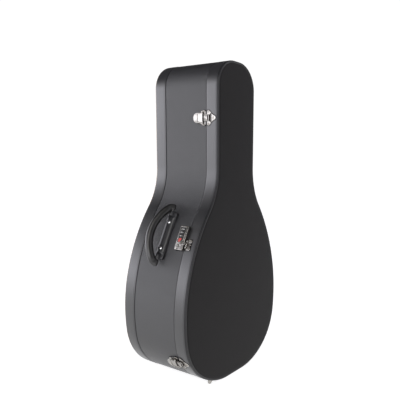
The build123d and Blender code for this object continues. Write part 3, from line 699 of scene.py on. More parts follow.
face = panel("lid_face_pad", WELT_W + 0.35, YF + 0.1, YF + 1.0, M_FACE, "lid", crown=0.9, edge_r=4.5, edge_d=0.9)
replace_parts(face, "lid_face_covering")
backp = panel("back_panel_skin", 13.8, YB - 0.35, YB - 1.0, M_TOLEX, "body", crown=0.35, edge_r=2.0, edge_d=0.5)
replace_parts(backp, "back_covering")


def stitches(name, off, y, direction, mat, body, pitch=3.6, length=2.5, r=0.28):
    """Row of thread stitches lying along the outline."""
    verts, faces = [], []
    n = int(2 * HALF / pitch)
    seg = 6
    for k in range(n):
        s0 = (k * pitch) % (2 * HALF)
        ring_i = []
        for q, rr in ((-0.5, 0.25), (-0.3, 0.9), (0.3, 0.9), (0.5, 0.25)):
            s = (s0 + q * length) % (2 * HALF)
            f = s / (2 * HALF) * len(LP)
            i0 = int(f) % len(LP)
            i1 = (i0 + 1) % len(LP)
            w = f - int(f)
            p = LP[i0] * (1 - w) + LP[i1] * w
            nn = LN[i0] * (1 - w) + LN[i1] * w
            c = p - off * nn
            idx = []
            for j in range(seg):
                a = 2 * math.pi * j / seg
                lift = (0.10 if abs(q) < 0.4 else -0.12)
                if direction == "side":
                    o2 = c + nn * (r * rr * math.cos(a) + lift)
                    verts.append((o2[0], y + r * rr * math.sin(a), o2[1]))
                else:
                    o2 = c + nn * (r * rr * math.sin(a))
                    verts.append((o2[0], y + direction * (r * rr * math.cos(a) + lift), o2[1]))
                idx.append(len(verts) - 1)
            ring_i.append(idx)
        for a, b in zip(ring_i, ring_i[1:]):
            for j in range(seg):
                faces.append((a[j], a[(j + 1) % seg], b[(j + 1) % seg], b[j]))
        faces.append(tuple(reversed(ring_i[0])))
        faces.append(tuple(ring_i[-1]))
    return obj_from(name, verts, faces, mat, body, None, 60.0)


stitches("strip_stitches_side", -0.32, GA + 3.6, "side", M_THREAD, "body")
stitches("strip_stitches_back", 11.4, YB + 0.15, 1.0, M_THREAD, "body")
stitches("lid_strip_stitches", -0.22, WY + 2.6, "side", M_THREAD, "lid")

# ---------------------------------------------------------------------------
# interior: plush linings with a rounded foot, padded neck support
# ---------------------------------------------------------------------------
BACK_IN = YB - 1.0 - 4.8
FLOOR = BACK_IN - 3.0
LIN = 12.6
VAL_BACK = SEAM + 26.0
prof = [(9.3, VAL_BACK + 0.3), (11.0, VAL_BACK + 0.2), (12.3, VAL_BACK + 0.9), (12.6, VAL_BACK + 2.2)]
prof += [(12.6, y) for y in np.linspace(VAL_BACK + 8, FLOOR - 9, 8)]
prof += [(LIN + 8 * (1 - math.cos(a)), FLOOR - 8 + 8 * math.sin(a)) for a in np.linspace(0.15, math.pi / 2, 7)]
prof += [(24.0, FLOOR + 0.05)]
lin_wall = sweep("lining_wall", prof + [(24.0, FLOOR + 1.5), (9.3, FLOOR + 1.5)], M_PLUSH, "body")


def soft_floor(x, z, dist):
    return 0.5 * math.sin(x * 0.05) * math.sin(z * 0.043) * min(1.0, dist / 30.0)


lin_floor = panel("lining_floor", 22.0, FLOOR - 0.15, FLOOR + 1.2, M_PLUSH, "body", crown=0.5, edge_r=3.0, edge_d=0.4, rows=110, cols=34, quilt=soft_floor)
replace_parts(lin_wall, "body_lining")
LC = YF + 1.0 + 4.4 + 3.0          # lid lining's face
prof = [(9.3, SEAM - 9.9), (10.6, SEAM - 9.8), (11.7, SEAM - 10.6), (12.0, SEAM - 12.0), (12.0, LC + 6)]
prof += [(12.0 + 6 * (1 - math.cos(a)), LC + 6 - 6 * math.sin(a)) for a in np.linspace(0.15, math.pi / 2, 7)]
prof += [(22.0, LC - 0.05)]
ll_wall = sweep("lid_lining_wall", prof + [(22.0, LC - 1.5), (9.3, LC - 1.5)], M_PLUSH, "lid")
ll_face = panel("lid_lining_face", 20.0, LC + 0.15, LC - 1.2, M_PLUSH, "lid", crown=0.6, edge_r=3.0, edge_d=0.4, rows=110, cols=34, quilt=soft_floor)
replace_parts(ll_wall, "lid_lining")


def padded_block(name, node, mat, body, bev):
    """Soft copy of a CAD block: remeshed and smoothed."""
    src = frame["nodes"][node]
    me = src.data.copy()
    o = bpy.data.objects.new(name, me)
    bpy.context.scene.collection.objects.link(o)
    o.matrix_world = src.matrix_world.copy()
    rm = o.modifiers.new("r", "REMESH")
    rm.mode = "VOXEL"
    rm.voxel_size = 0.0022
    sm = o.modifiers.new("s", "SMOOTH")
    sm.factor, sm.iterations = 0.5, bev
    dg = bpy.context.evaluated_depsgraph_get()
    new = bpy.data.meshes.new_from_object(o.evaluated_get(dg))
    mw = o.matrix_world.copy()
    bpy.data.objects.remove(o, do_unlink=True)
    new.transform(mw)
    new.materials.clear()
    new.materials.append(mat)
    for poly in new.polygons:
        poly.use_smooth = True
        poly.material_index = 0
    p = bpy.data.objects.new(name, new)
    bpy.context.scene.collection.objects.link(p)
    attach(p, body)
    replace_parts(p, node)
    return p


padded_block("neck_cradle_pad", "neck_cradle", M_PLUSH, "body", 9)

# compartment lid: plush-covered board with a rounded edge, its barrels kept by a pair of knuckles
flat = Fr(0.0, 0.0)
flat.o = np.array([0.0, 0.0, 0.0])
flat.t = np.array([1.0, 0.0, 0.0])


class XZ:
    """Local frame with a = x, y = z and n = -y, for pieces that face the lid."""

    def p(self, a, y, n):
        return np.array([a, -n, y])


cover = plate("compartment_lid_cover", XZ(), rounded([(-58, 599.6), (58, 599.6), (58, 685.6), (-58, 685.6)], 5, 6), -31.0, -27.9, M_PLUSH,
              "compartment_cover", edge=1.2)
kn = []
for x0 in (-40.5, 19.5):
    verts, faces = [], []
    seg = 24
    for x in (x0, x0 + 21.0):
        for j in range(seg):
            a = 2 * math.pi * j / seg
            verts.append((x, 28.3 + 2.35 * math.cos(a), 689.0 + 2.35 * math.sin(a)))
    for j in range(seg):
        faces.append((j, (j + 1) % seg, seg + (j + 1) % seg, seg + j))
    faces.append(tuple(range(seg)))
    faces.append(tuple(range(2 * seg - 1, seg - 1, -1)))
    kn.append(obj_from("kn", verts, faces, M_ALU, "compartment_cover"))
    kn.append(plate("kw", XZ(), rounded([(x0, 684.5), (x0 + 21, 684.5), (x0 + 21, 688.5), (x0, 688.5)], 0.5, 2), -30.2, -28.2, M_ALU, "compartment_cover", edge=0.3))
knuckles = join("compartment_knuckles", kn, "compartment_cover")
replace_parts(cover, "compartment_lid")

# ---------------------------------------------------------------------------
# draw latches
# ---------------------------------------------------------------------------
PLATE_T = 1.2


def latch(name, fr):
    L = "latch_" + name
    # base: eared plate with a flare behind the ears
    half = [(0, 2.3), (15.4, 2.3), (17.9, 4.6), (17.9, 9.5), (16.6, 12.6), (13.6, 16.0), (12.2, 20.0), (11.4, 27.0), (9.4, 31.6), (5.0, 33.6)]
    out = rounded(mirror_a(half), [0, 1.5, 2.4, 2.4, 2.6, 3.5, 3.5, 3, 3, 2] + [2, 3, 3, 3.5, 3.5, 2.6, 2.4, 2.4, 1.5], 4)
    # dark plate a little larger than the base: painted contact shadow round the base
    grow = [(-19.0, 1.7), (19.0, 1.7), (19.0, 10.0), (17.4, 13.6), (14.4, 17.0), (13.2, 20.4), (12.4, 27.4), (10.2, 33.0), (5.4, 34.8)]
    grow += [(-a, y) for a, y in reversed(grow[2:])]
    plate(L + "_base_shadow_outline", fr, rounded(grow, 2.0, 3), -0.1, 0.3, M_SHADOW_VINYL, "body", edge=0.1)
    parts = [plate("p", fr, out, 0.0, PLATE_T, M_NICKEL, "body", edge=0.45)]
    for s in (-1, 1):
        a0, a1 = sorted((s * 12.9, s * 14.7))
        lug = []
        for k in range(9):
            t = math.pi * k / 8
            lug.append((3.0 * math.cos(t), 4.2 + 3.0 * math.sin(t)))
        lug = [(4.0, 0.6)] + lug + [(-4.0, 0.6)]
        verts, faces = [], []
        for a in (a0, a1):
            for y, n in lug:
                verts.append(fr.p(a, 9.0 + y, n))
        m = len(lug)
        for j in range(m):
            faces.append((j, (j + 1) % m, m + (j + 1) % m, m + j))
        faces.append(tuple(range(m)))
        faces.append(tuple(range(2 * m - 1, m - 1, -1)))
        parts.append(obj_from("p", verts, faces, M_NICKEL, "body"))
    base = join(L + "_base_plate", parts, "body")
    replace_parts(base, L + "_base")

    # lever: two arms beside the bail, tab with a turned-up lip
    def lift(a, y):
        t = max(0.0, (y - 23.0) / 13.4)
        return 0.6 * t * t - 0.035 * (a / 12.0) ** 2 * 8 * min(1.0, t * 3)
    half = [(6.9, 6.7), (11.8, 6.7), (12.0, 19.0), (12.1, 25.6), (9.6, 31.4), (4.8, 34.3)]
    pts = half + [(-a, y) for a, y in reversed(half)] + [(-6.9, 20.9), (6.9, 20.9)]
    out = rounded(pts, [0.6, 1.6, 0, 7, 5, 4, 4, 5, 7, 0, 1.6, 0.6, 1.0, 1.0], 5)
    pl = plate("p", fr, out, 5.6, 7.2, M_NICKEL, "neck_lever", edge=0.55, lift=lift)
    parts = [pl]
    # pressed step across the tab, two dimples, ribs along the arms; the dark bars beside the step and across the arms
    # and the dark dots of the dimples are painted shadow
    parts.append(bar("p", fr, -9.6, 9.6, 22.6, 24.2, 7.0, 7.75, M_NICKEL, "neck_lever", 0.5))
    parts.append(bar("p", fr, -9.8, 9.8, 21.2, 22.5, 7.1, 7.4, M_PAINTED_SHADOW, "neck_lever", 0.1))
    parts.append(bar("p", fr, -9.8, 9.8, 24.4, 25.0, 7.1, 7.32, M_PAINTED_SHADOW, "neck_lever", 0.1))
    for s in (-1, 1):
        parts.append(bar("p", fr, *sorted((s * 10.2, s * 11.6)), 8.4, 20.0, 7.0, 7.8, M_NICKEL, "neck_lever", 0.45))
        a0, a1 = sorted((s * 8.5, s * 12.3))
        parts.append(rod("p", fr, a0, a1, 9.0, 4.2, 2.5, M_NICKEL, "neck_lever"))
        parts.append(bar("p", fr, a0, a1, 7.2, 11.6, 3.6, 6.0, M_NICKEL, "neck_lever", 0.3))
        a0, a1 = sorted((s * 7.1, s * 9.1))
        parts.append(rod("p", fr, a0, a1, 17.0, 3.6, 1.95, M_NICKEL, "neck_lever"))
        parts.append(bar("p", fr, a0, a1, 15.2, 18.8, 3.4, 6.0, M_NICKEL, "neck_lever", 0.3))
        parts.append(revolve("p", fr, s * 8.5, 19.3, 7.1, [(1.05, 0), (1.0, 0.2), (0.05, 0.22)], M_PAINTED_SHADOW, "neck_lever", seg=16))
        parts.append(bar("p", fr, *sorted((s * 7.6, s * 9.9)), 13.6, 14.5, 7.1, 7.34, M_PAINTED_SHADOW, "neck_lever", 0.1))
        parts.append(revolve("p", fr, s * 7.0, 28.6, 7.05, [(1.5, 0), (1.45, 0.25), (1.1, 0.5), (0.4, 0.62), (0.05, 0.64)], M_NICKEL, "neck_lever", seg=18))
    lever = join(L + "_lever_plate", parts, name + "_lever")
    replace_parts(lever, L + "_lever")

    # bail: frame that bridges the seam, square pull block, hook
    half = [(0.01, -11.0), (8.3, -11.0), (8.3, 4.6), (6.3, 5.6), (6.2, 17.0)]
    out = rounded([(a, y) for a, y in half[1:]] + [(-a, y) for a, y in reversed(half[1:])], [1.4, 1.2, 1.0, 0, 0, 1.0, 1.2, 1.4], 4)
    parts = [plate("p", fr, out, 3.1, 4.5, M_NICKEL, "neck_bail", edge=0.3)]
    parts.append(bar("p", fr, -5.7, 5.7, -6.6, 2.2, 4.3, 6.0, M_NICKEL, "neck_bail", 0.7))
    parts.append(bar("p", fr, -5.6, 5.6, 5.2, 12.8, 4.3, 5.2, M_NICKEL, "neck_bail", 0.5))
    # dark cross bars: painted shadow lines between the bail's raised parts
    for y0, y1 in ((2.5, 4.9), (13.1, 15.0)):
        parts.append(bar("p", fr, -6.1, 6.1, y0, y1, 4.3, 4.62, M_PAINTED_SHADOW, "neck_bail", 0.1))
    parts.append(bar("p", fr, -6.6, 6.6, -9.2, -7.0, 4.3, 4.6, M_PAINTED_SHADOW, "neck_bail", 0.1))
    for s in (-1, 1):
        a0, a1 = sorted((s * 6.75, s * 8.3))
        parts.append(bar("p", fr, a0, a1, -10.6, 4.4, 4.3, 5.5, M_NICKEL, "neck_bail", 0.5))
    parts.append(bar("p", fr, -6.2, 6.2, -11.0, -9.4, 1.9, 4.4, M_NICKEL, "neck_bail", 0.3))
    parts.append(bar("p", fr, -8.3, 8.3, -11.0, -9.3, 4.3, 5.0, M_NICKEL, "neck_bail", 0.35))
    parts.append(rod("p", fr, -6.5, 6.5, 17.0, 3.6, 1.8, M_NICKEL, "neck_bail"))
    bail = join(L + "_bail_frame", parts, name + "_bail")
    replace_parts(bail, L + "_bail")

    # catch: eared plate drawn to a rounded tip, slot, lip, pressed border
    half = [(0, -2.3), (14.6, -2.3), (17.9, -4.2), (17.9, -8.6), (15.4, -12.0), (10.6, -15.4), (6.6, -21.6), (4.0, -27.2)]
    pts = [(a, y) for a, y in half] + [(0, -28.6)] + [(-a, y) for a, y in reversed(half[1:])]
    out = rounded(pts, [0, 1.5, 2.6, 2.6, 3.0, 4.0, 5.0, 3.0, 3.0, 3.0, 5.0, 4.0, 3.0, 2.6, 2.6, 1.5], 4)
    parts = [plate("p", fr, out, 0.0, PLATE_T, M_NICKEL, "lid", edge=0.45)]
    parts.append(bar("p", fr, -7.5, 7.5, -9.1, -7.6, 0.8, 2.8, M_NICKEL, "lid", 0.3))
    # raised bar behind the slot, following the ears
    parts.append(bar("p", fr, -10.2, 10.2, -16.2, -14.7, 1.0, 2.3, M_NICKEL, "lid", 0.5))
    for s in (-1, 1):
        parts.append(bar("p", fr, *sorted((s * 14.9, s * 16.2)), -10.2, -3.6, 1.0, 1.9, M_NICKEL, "lid", 0.4))
    catch = join(L + "_catch_plate", parts, "lid")
    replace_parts(catch, L + "_catch")
    # dark plate a little larger than the catch: painted contact shadow round the catch
    grow = [(-19.0, -1.7), (19.0, -1.7), (19.0, -9.0), (16.2, -12.8), (11.4, -16.4), (7.4, -22.2), (4.6, -28.4), (0, -29.6)]
    grow += [(-a, y) for a, y in reversed(grow[2:-1])]
    plate(L + "_catch_shadow_outline", fr, rounded(grow, 2.0, 3), 0.1, 0.5, M_SHADOW_VINYL, "lid", edge=0.1)
    # the catch's slot, drawn as a dark plate: painted shade in the slot
    out = rounded([(-10.4, -14.6), (10.4, -14.6), (10.4, -11.3), (-10.4, -11.3)], 0.9, 4)
    plate(L + "_catch_slot_shadow", fr, out, 1.0, 1.26, M_PAINTED_SHADOW, "lid", edge=0.1)
    # rivets with a set ring
    def rv(nm, a, y, n0, r, body, node=None):
        prof = [(r, 0), (r * 0.99, 0.18), (r * 0.88, 0.55), (r * 0.6, 0.88), (r * 0.42, 0.95), (r * 0.38, 0.72), (r * 0.05, 0.66)]
        return revolve(nm, fr, a, y, n0, prof, M_NICKEL2, body, seg=24)
    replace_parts(join(L + "_base_rivet_heads", [rv("p", -15.6, 5.2, PLATE_T - 0.05, 1.6, "body"), rv("p", 15.6, 5.2, PLATE_T - 0.05, 1.6, "body"),
                                              rv("p", 0, 30.0, PLATE_T - 0.05, 1.6, "body")], "body"), L + "_rivets")
    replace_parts(join(L + "_catch_rivet_heads", [rv("p", 0, -21.0, PLATE_T - 0.05, 2.5, "lid"), rv("p", -12.6, -5.6, PLATE_T - 0.05, 1.4, "lid"),
                                               rv("p", 12.6, -5.6, PLATE_T - 0.05, 1.4, "lid")], "lid"), L + "_catch_rivets")


# dark vinyl for the painted shadow lines, dots and slot on the latch fittings
M_PAINTED_SHADOW = leathercloth("slot_shadow_vinyl", (0.010, 0.006, 0.004), (0.016, 0.010, 0.007), 0.5, 1700.0, 0.1, spec=0.3, wear=0.0)
LATCH_Z_NECK, LATCH_ARC_TAIL, LOCK_ARC, HANDLE_ARC = 661.5, 202.0, 510.0, 512.0
latch("neck", Fr(arc_at_z(LATCH_Z_NECK), SEAM))
latch("tail", Fr(LATCH_ARC_TAIL, SEAM))

# ---------------------------------------------------------------------------
# combination lock
# ---------------------------------------------------------------------------
LK = Fr(LOCK_ARC, SEAM)
LK_H = 8.0
DIAL_R, DIAL_W, DIAL_Y, DIAL_N = 5.2, 5.6, 13.2, 5.6
DIAL_A = (20.6, 12.2, 3.8)
hs = plate("p", LK, rounded([(-30, -1.2), (30, -1.2), (30, 23.2), (-30, 23.2)], 2.0, 5), 0.75, LK_H, M_NICKEL, "body", edge=0.8)
foot = plate("p", LK, rounded([(-29, 1.6), (29, 1.6), (29, 22.4), (-29, 22.4)], 2.0, 5), 0.0, 1.5, M_NICKEL, "body", edge=0.2)
# dark plate a little larger than the housing: painted contact shadow round the lock
plate("lock_shadow_outline", LK, rounded([(-31, 0.8), (31, 0.8), (31, 24.2), (-31, 24.2)], 2.5, 5), -0.1, 0.18, M_SHADOW_VINYL, "body", edge=0.1)
parts = [hs, foot]
# raised frame round the dial window and a border on the lower field
for a0, a1, y0, y1 in ((-12.6, 27.4, 2.6, 4.2), (-12.6, 27.4, 20.4, 22.0), (25.9, 27.5, 2.6, 22.0), (-12.9, -11.5, 11.2, 22.0)):
    parts.append(bar("p", LK, a0, a1, y0, y1, LK_H - 0.4, LK_H + 0.55, M_NICKEL, "body", 0.4))
housing = join("lock_case", parts, "body")
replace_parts(housing, "lock_housing")
plate("lock_window", LK, rounded([(-11.4, 4.1), (26.0, 4.1), (26.0, 20.5), (-11.4, 20.5)], 0.8, 3), LK_H - 0.6, LK_H + 0.12, M_DIAL, "body", edge=0.15)
# slots beside each dial, drawn as dark plates: painted shade in the slots
for i, a in enumerate(DIAL_A):
    plate("lock_dial_slot_%d" % (i + 1), LK, rounded([(a - 3.5, 6.6), (a + 3.5, 6.6), (a + 3.5, 19.8), (a - 3.5, 19.8)], 0.7, 3), LK_H, LK_H + 0.22, M_DARK, "body", edge=0.08)
idx = plate("lock_index_square", LK, rounded([(-10.8, 9.2), (-1.6, 9.2), (-1.6, 17.8), (-10.8, 17.8)], 1.5, 5), LK_H - 0.2, LK_H + 0.5, M_RED, "body", edge=0.35)
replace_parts(idx, "lock_index_mark")
rh = []
for a, y in ((28.7, 4.2), (28.7, 20.6), (-27.6, 20.8)):
    rh.append(revolve("p", LK, a if a < 0 else 28.0, y, LK_H - 0.05, [(1.0, 0), (0.97, 0.2), (0.7, 0.5), (0.3, 0.66), (0.04, 0.68)], M_NICKEL2, "body", seg=18))
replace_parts(join("lock_rivet_heads", rh, "body"), "lock_rivets")


def glyph(text, size, depth):
    cu = bpy.data.curves.new("glyph", "FONT")
    cu.body = text
    cu.size = size
    cu.extrude = depth
    cu.align_x, cu.align_y = "CENTER", "CENTER"
    o = bpy.data.objects.new("glyph", cu)
    bpy.context.scene.collection.objects.link(o)
    dg = bpy.context.evaluated_depsgraph_get()
    me = bpy.data.meshes.new_from_object(o.evaluated_get(dg))
    vs = [tuple(v.co) for v in me.vertices]
    fs = [tuple(p.vertices) for p in me.polygons]
    bpy.data.objects.remove(o, do_unlink=True)
    bpy.data.meshes.remove(me)
    return vs, fs


GL = [glyph(str(k), 4.4, 0.16) for k in range(10)]
for i, a in enumerate(DIAL_A):
    # fluted wheel with a flat for each number
    nseg = 80
    verts, faces = [], []
    rings = [(-DIAL_W / 2, 0.88), (-DIAL_W / 2 + 0.25, 0.97), (-DIAL_W / 2 + 0.6, 1.0), (DIAL_W / 2 - 0.6, 1.0), (DIAL_W / 2 - 0.25, 0.97), (DIAL_W / 2, 0.88)]
    for da, k in rings:
        for j in range(nseg):
            t = 2 * math.pi * j / nseg
            u = (t / (2 * math.pi) * 10) % 1.0
            u = min(u, 1 - u)               # 0 on the number, 0.5 at the notch
            notch = 0.55 * math.exp(-((u - 0.5) / 0.07) ** 2)
            r = (DIAL_R - 0.1 - notch) * k
            verts.append(LK.p(a + da, DIAL_Y + r * math.sin(t), DIAL_N + r * math.cos(t)))
    m = nseg
    for r in range(len(rings) - 1):
        for j in range(m):
            faces.append((r * m + j, r * m + (j + 1) % m, (r + 1) * m + (j + 1) % m, (r + 1) * m + j))
    faces.append(tuple(range(m - 1, -1, -1)))
    faces.append(tuple((len(rings) - 1) * m + j for j in range(m)))
    wheel = obj_from("lock_wheel_%d" % (i + 1), verts, faces, M_DIAL, "dial_%d" % (i + 1), None, 35.0)
    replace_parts(wheel, "lock_dial_%d" % (i + 1))
    verts, faces = [], []
    for k in range(10):
        vs, fs = GL[(k + 3 * i) % 10]
        t0 = 2 * math.pi * k / 10
        base_i = len(verts)
        for x, y, z in vs:
            t = t0 + y / DIAL_R
            r = DIAL_R - 0.02 + z
            verts.append(LK.p(a + x * 0.95, DIAL_Y + r * math.sin(t), DIAL_N + r * math.cos(t)))
        faces += [tuple(base_i + v for v in f) for f in fs]
    obj_from("lock_numbers_%d" % (i + 1), verts, faces, M_DIGIT, "dial_%d" % (i + 1), None, 30.0)

# release button with thumb ridges
parts = [plate("p", LK, rounded([(-26.2, 11.4), (-17.0, 11.4), (-17.0, 19.2), (-26.2, 19.2)], 1.8, 5), LK_H + 0.3, LK_H + 1.9, M_NICKEL, "slider", edge=0.6)]
for k in range(4):
    a = -24.6 + k * 2.0
    parts.append(bar("p", LK, a - 0.45, a + 0.45, 12.4, 18.2, LK_H + 1.7, LK_H + 2.3, M_NICKEL, "slider", 0.3))
parts.append(bar("p", LK, -22.0, -19.5, 13.0, 16.0, 4.6, LK_H + 1.0, M_NICKEL, "slider", 0.2))
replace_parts(join("lock_button", parts, "slider"), "lock_slider")
# the button's slot, drawn as a dark plate: painted shade in the slot
plate("lock_button_slot_shade", LK, rounded([(-28.6, 12.4), (-18.4, 12.4), (-18.4, 16.6), (-28.6, 16.6)], 1.2, 4), LK_H - 0.1, LK_H + 0.1, M_DARK, "body", edge=0.05)

# hasp: bow-shaped plate on the lid, knuckled arm over the case
half_pts = [(-27.0, -18.6), (-20.0, -18.6), (-18.0, -15.2), (-9.0, -15.2), (-7.0, -18.6), (0.0, -18.6), (0.0, -3.5), (-7.0, -3.5), (-8.6, -7.5), (-18.4, -7.5), (-20.0, -3.5), (-27.0, -3.5)]
# dark plate a little larger than the hasp: painted contact shadow round the hasp
hasp_shadow_pts = [(-28.0, -20.0), (1.0, -20.0), (1.0, -2.6), (-28.0, -2.6)]
plate("hasp_shadow_outline", LK, rounded(hasp_shadow_pts, 3.0, 4), 0.1, 0.5, M_SHADOW_VINYL, "lid", edge=0.1)
parts = [plate("p", LK, rounded(half_pts, [3, 2, 2, 2, 2, 3, 3, 1.2, 1.2, 1.2, 1.2, 3], 5), 0.0, PLATE_T, M_NICKEL, "lid", edge=0.45)]
for a0, a1 in ((-23.0, -19.0), (-8.0, -4.0)):
    parts.append(rod("p", LK, a0, a1, -6.0, 3.0, 2.2, M_NICKEL, "lid"))
    parts.append(bar("p", LK, a0, a1, -8.0, -4.0, 0.8, 3.0, M_NICKEL, "lid", 0.3))
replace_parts(join("hasp_bow_plate", parts, "lid"), "hasp_plate")
arm = [(-16.8, -6.4), (-10.2, -6.4), (-10.2, 1.6), (-7.0, 3.4), (-7.0, 8.6), (-9.2, 10.8), (-17.8, 10.8), (-20.0, 8.6), (-20.0, 3.4), (-16.8, 1.6)]
parts = [plate("p", LK, rounded(arm, [0.8, 0.8, 1.6, 1.6, 1.6, 1.6, 1.6, 1.6, 1.6, 1.6], 5), LK_H + 0.65, 9.8, M_NICKEL, "hasp", edge=0.35)]
parts.append(bar("p", LK, -16.8, -10.2, -6.3, -4.5, 3.0, 9.4, M_NICKEL, "hasp", 0.4))
parts.append(rod("p", LK, -18.6, -8.4, -6.0, 3.0, 1.8, M_NICKEL, "hasp"))
parts.append(bar("p", LK, -16.0, -11.0, 6.4, 9.0, 4.0, 9.0, M_NICKEL, "hasp", 0.3))
parts.append(bar("p", LK, -17.6, -9.4, 4.6, 9.4, 9.7, 10.2, M_NICKEL, "hasp", 0.35))
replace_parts(join("hasp_strap", parts, "hasp"), "hasp_arm")

# ---------------------------------------------------------------------------
# carrying handle
# ---------------------------------------------------------------------------
HF = Fr(HANDLE_ARC, 0.0)
AX = 6.5
LEAN = math.radians(52.0)


def hp(a, reach, t):
    return HF.p(a, reach * math.sin(LEAN) + t * math.cos(LEAN), AX + reach * math.cos(LEAN) - t * math.sin(LEAN))


# base: half-round bar with rounded ends
verts, faces = [], []
na, nc = 96, 25
EA = 61.5
for i in range(na + 1):
    t = i / na
    a = -EA * math.cos(math.pi * t)
    e = EA - abs(a)
    w = 14.0 if e > 7 else 14.0 - 7.0 + math.sqrt(max(0.0, 49 - (7 - e) ** 2))
    h = 7.6 if e > 3 else 7.6 - 3.0 + math.sqrt(max(0.0, 9 - (3 - e) ** 2))
    blk = min(1.0, max(0.0, (abs(a) - 44.0) / 4.0))
    blk = blk * blk * (3 - 2 * blk)
    h -= 2.4 * blk
    ex = 2.05 + 2.4 * blk
    for j in range(nc):
        u = math.pi * j / (nc - 1)
        c, s = math.cos(u), math.sin(u)
        y = w * math.copysign(abs(c) ** (2 / ex), c)
        n = h * (abs(s) ** (2 / ex))
        verts.append(HF.p(a, y, n))
for i in range(na):
    for j in range(nc - 1):
        faces.append((i * nc + j, i * nc + j + 1, (i + 1) * nc + j + 1, (i + 1) * nc + j))
faces.append(tuple(range(nc)))
faces.append(tuple(na * nc + j for j in range(nc - 1, -1, -1)))
parts = [obj_from("p", verts, faces, M_HBASE, "body", None, 50.0)]
for s in (-1, 1):
    # post round the pin
    sec = [(-6.6, 2.5), (-5.4, AX - 0.6)] + [(5.3 * math.cos(math.radians(q)), AX + 5.3 * math.sin(math.radians(q))) for q in range(170, -1, -10)] + [(5.4, AX - 0.6), (6.6, 2.5)]
    rows = [(49.2, 0.80), (49.5, 0.90), (50.2, 0.97), (51.2, 1.0), (60.4, 1.0), (61.1, 0.97), (61.45, 0.90)]
    verts, faces = [], []
    m = len(sec)
    for a, k in rows:
        for y, n in sec:
            verts.append(HF.p(s * a, y * k, 2.5 + (n - 2.5) * k))
    for r in range(len(rows) - 1):
        for j in range(m - 1):
            faces.append((r * m + j, r * m + j + 1, (r + 1) * m + j + 1, (r + 1) * m + j))
    faces.append(tuple(range(m)))
    faces.append(tuple((len(rows) - 1) * m + j for j in range(m)))
    parts.append(obj_from("p", verts, faces, M_HBASE, "body", None, 50.0))
    # socket collar
    parts.append(revolve("p", HF, s * 33.5, 0, 3.6, [(7.0, 0), (7.0, 3.6), (6.85, 4.4), (6.4, 4.85), (5.9, 4.9), (5.45, 4.6), (5.3, 4.0), (5.25, 1.2), (0.05, 1.1)], M_HBASE, "body", seg=36))
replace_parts(join("handle_mount", parts, "body"), "handle_base")
sc = []
for s in (-1, 1):
    sc.append(revolve("p", HF, s * 33.5, 0, 4.9, [(4.7, 0), (4.7, 1.5), (4.55, 2.1), (4.0, 2.75), (3.0, 3.2), (1.8, 3.45), (0.6, 3.52), (0.03, 3.53)], M_CHROME, "body", seg=36))
    # dark cross on each screw head: painted shade of the screw's slot
    sc.append(bar("p", HF, s * 33.5 - 2.2, s * 33.5 + 2.2, -0.35, 0.35, 7.9, 8.49, M_DARK, "body", 0.12))
    sc.append(bar("p", HF, s * 33.5 - 0.35, s * 33.5 + 0.35, -2.2, 2.2, 7.9, 8.49, M_DARK, "body", 0.12))
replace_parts(join("handle_screw_heads", sc, "body"), "handle_screws")

# grip: arch of three tangent arcs, soft section, thinner at the eyes
END_C, HALF_G = 58.0, 71.0
END_A = math.radians(50.0)
RE = HALF_G - END_C
RM = END_C / math.cos(END_A) + RE
MID_Y = END_C * math.tan(END_A)
path = []
for q in np.linspace(-1.2, 0, 4)[:-1]:
    path.append((HALF_G, q, 1.0, 0.0))
for q in np.linspace(0, END_A, 12):
    path.append((END_C + RE * math.cos(q), RE * math.sin(q), math.cos(q), math.sin(q)))
for q in np.linspace(END_A, math.pi - END_A, 60)[1:-1]:
    path.append((RM * math.cos(q), -MID_Y + RM * math.sin(q), math.cos(q), math.sin(q)))
path += [(-x, y, -c, s) for x, y, c, s in reversed(path[:15])]
total = len(path)
NS = 36


def section(x, y, cx, cy, k, lo=False):
    """Ring of points round the path point, k shrinks it for the end caps."""
    f = min(1.0, max(0.0, (y - 3.0) / 12.0))
    f = f * f * (3 - 2 * f)
    rt = 5.7 + 4.0 * f
    rn = 8.5 + 0.7 * f
    pts = []
    for j in range(NS):
        t = 2 * math.pi * j / NS
        c, s = math.cos(t), math.sin(t)
        ex = 2.5
        u = math.copysign(abs(c) ** (2 / ex), c) * rn
        v = math.copysign(abs(s) ** (2 / ex), s) * rt
        # a palm swell on the outer side
        if u > 0:
            v *= 1.0 - 0.10 * (u / rn) ** 2
        pts.append(hp(x + cx * u * k, y + cy * u * k, v * k))
    return pts


verts, faces = [], []
rows = []
cap = [(3.9, 0.30), (3.6, 0.55), (2.9, 0.78), (1.7, 0.93)]
for d, k in cap:
    rows.append(section(HALF_G, -1.2 - d, 1.0, 0.0, k))
for p in path:
    rows.append(section(*p, 1.0))
for d, k in reversed(cap):
    rows.append(section(-HALF_G, -1.2 - d, -1.0, 0.0, k))
for r in rows:
    verts += r
for i in range(len(rows) - 1):
    for j in range(NS):
        faces.append((i * NS + j, i * NS + (j + 1) % NS, (i + 1) * NS + (j + 1) % NS, (i + 1) * NS + j))
faces.append(tuple(range(NS)))
faces.append(tuple((len(rows) - 1) * NS + j for j in range(NS)))
grip = obj_from("handle_bow", verts, faces, M_GRIP, "handle", None, 60.0)
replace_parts(grip, "handle_grip")

# ---------------------------------------------------------------------------
# kept CAD nodes: soften their edges
# ---------------------------------------------------------------------------
for name, o in frame["nodes"].items():
    if o.hide_render:
        continue
    w = o.modifiers.new("weld", "WELD")
    w.merge_threshold = 0.00002
    b = o.modifiers.new("bevel", "BEVEL")
    b.width = 0.0003
    b.segments = 2
    b.limit_method = "ANGLE"
    b.angle_limit = math.radians(40)
    b.harden_normals = False

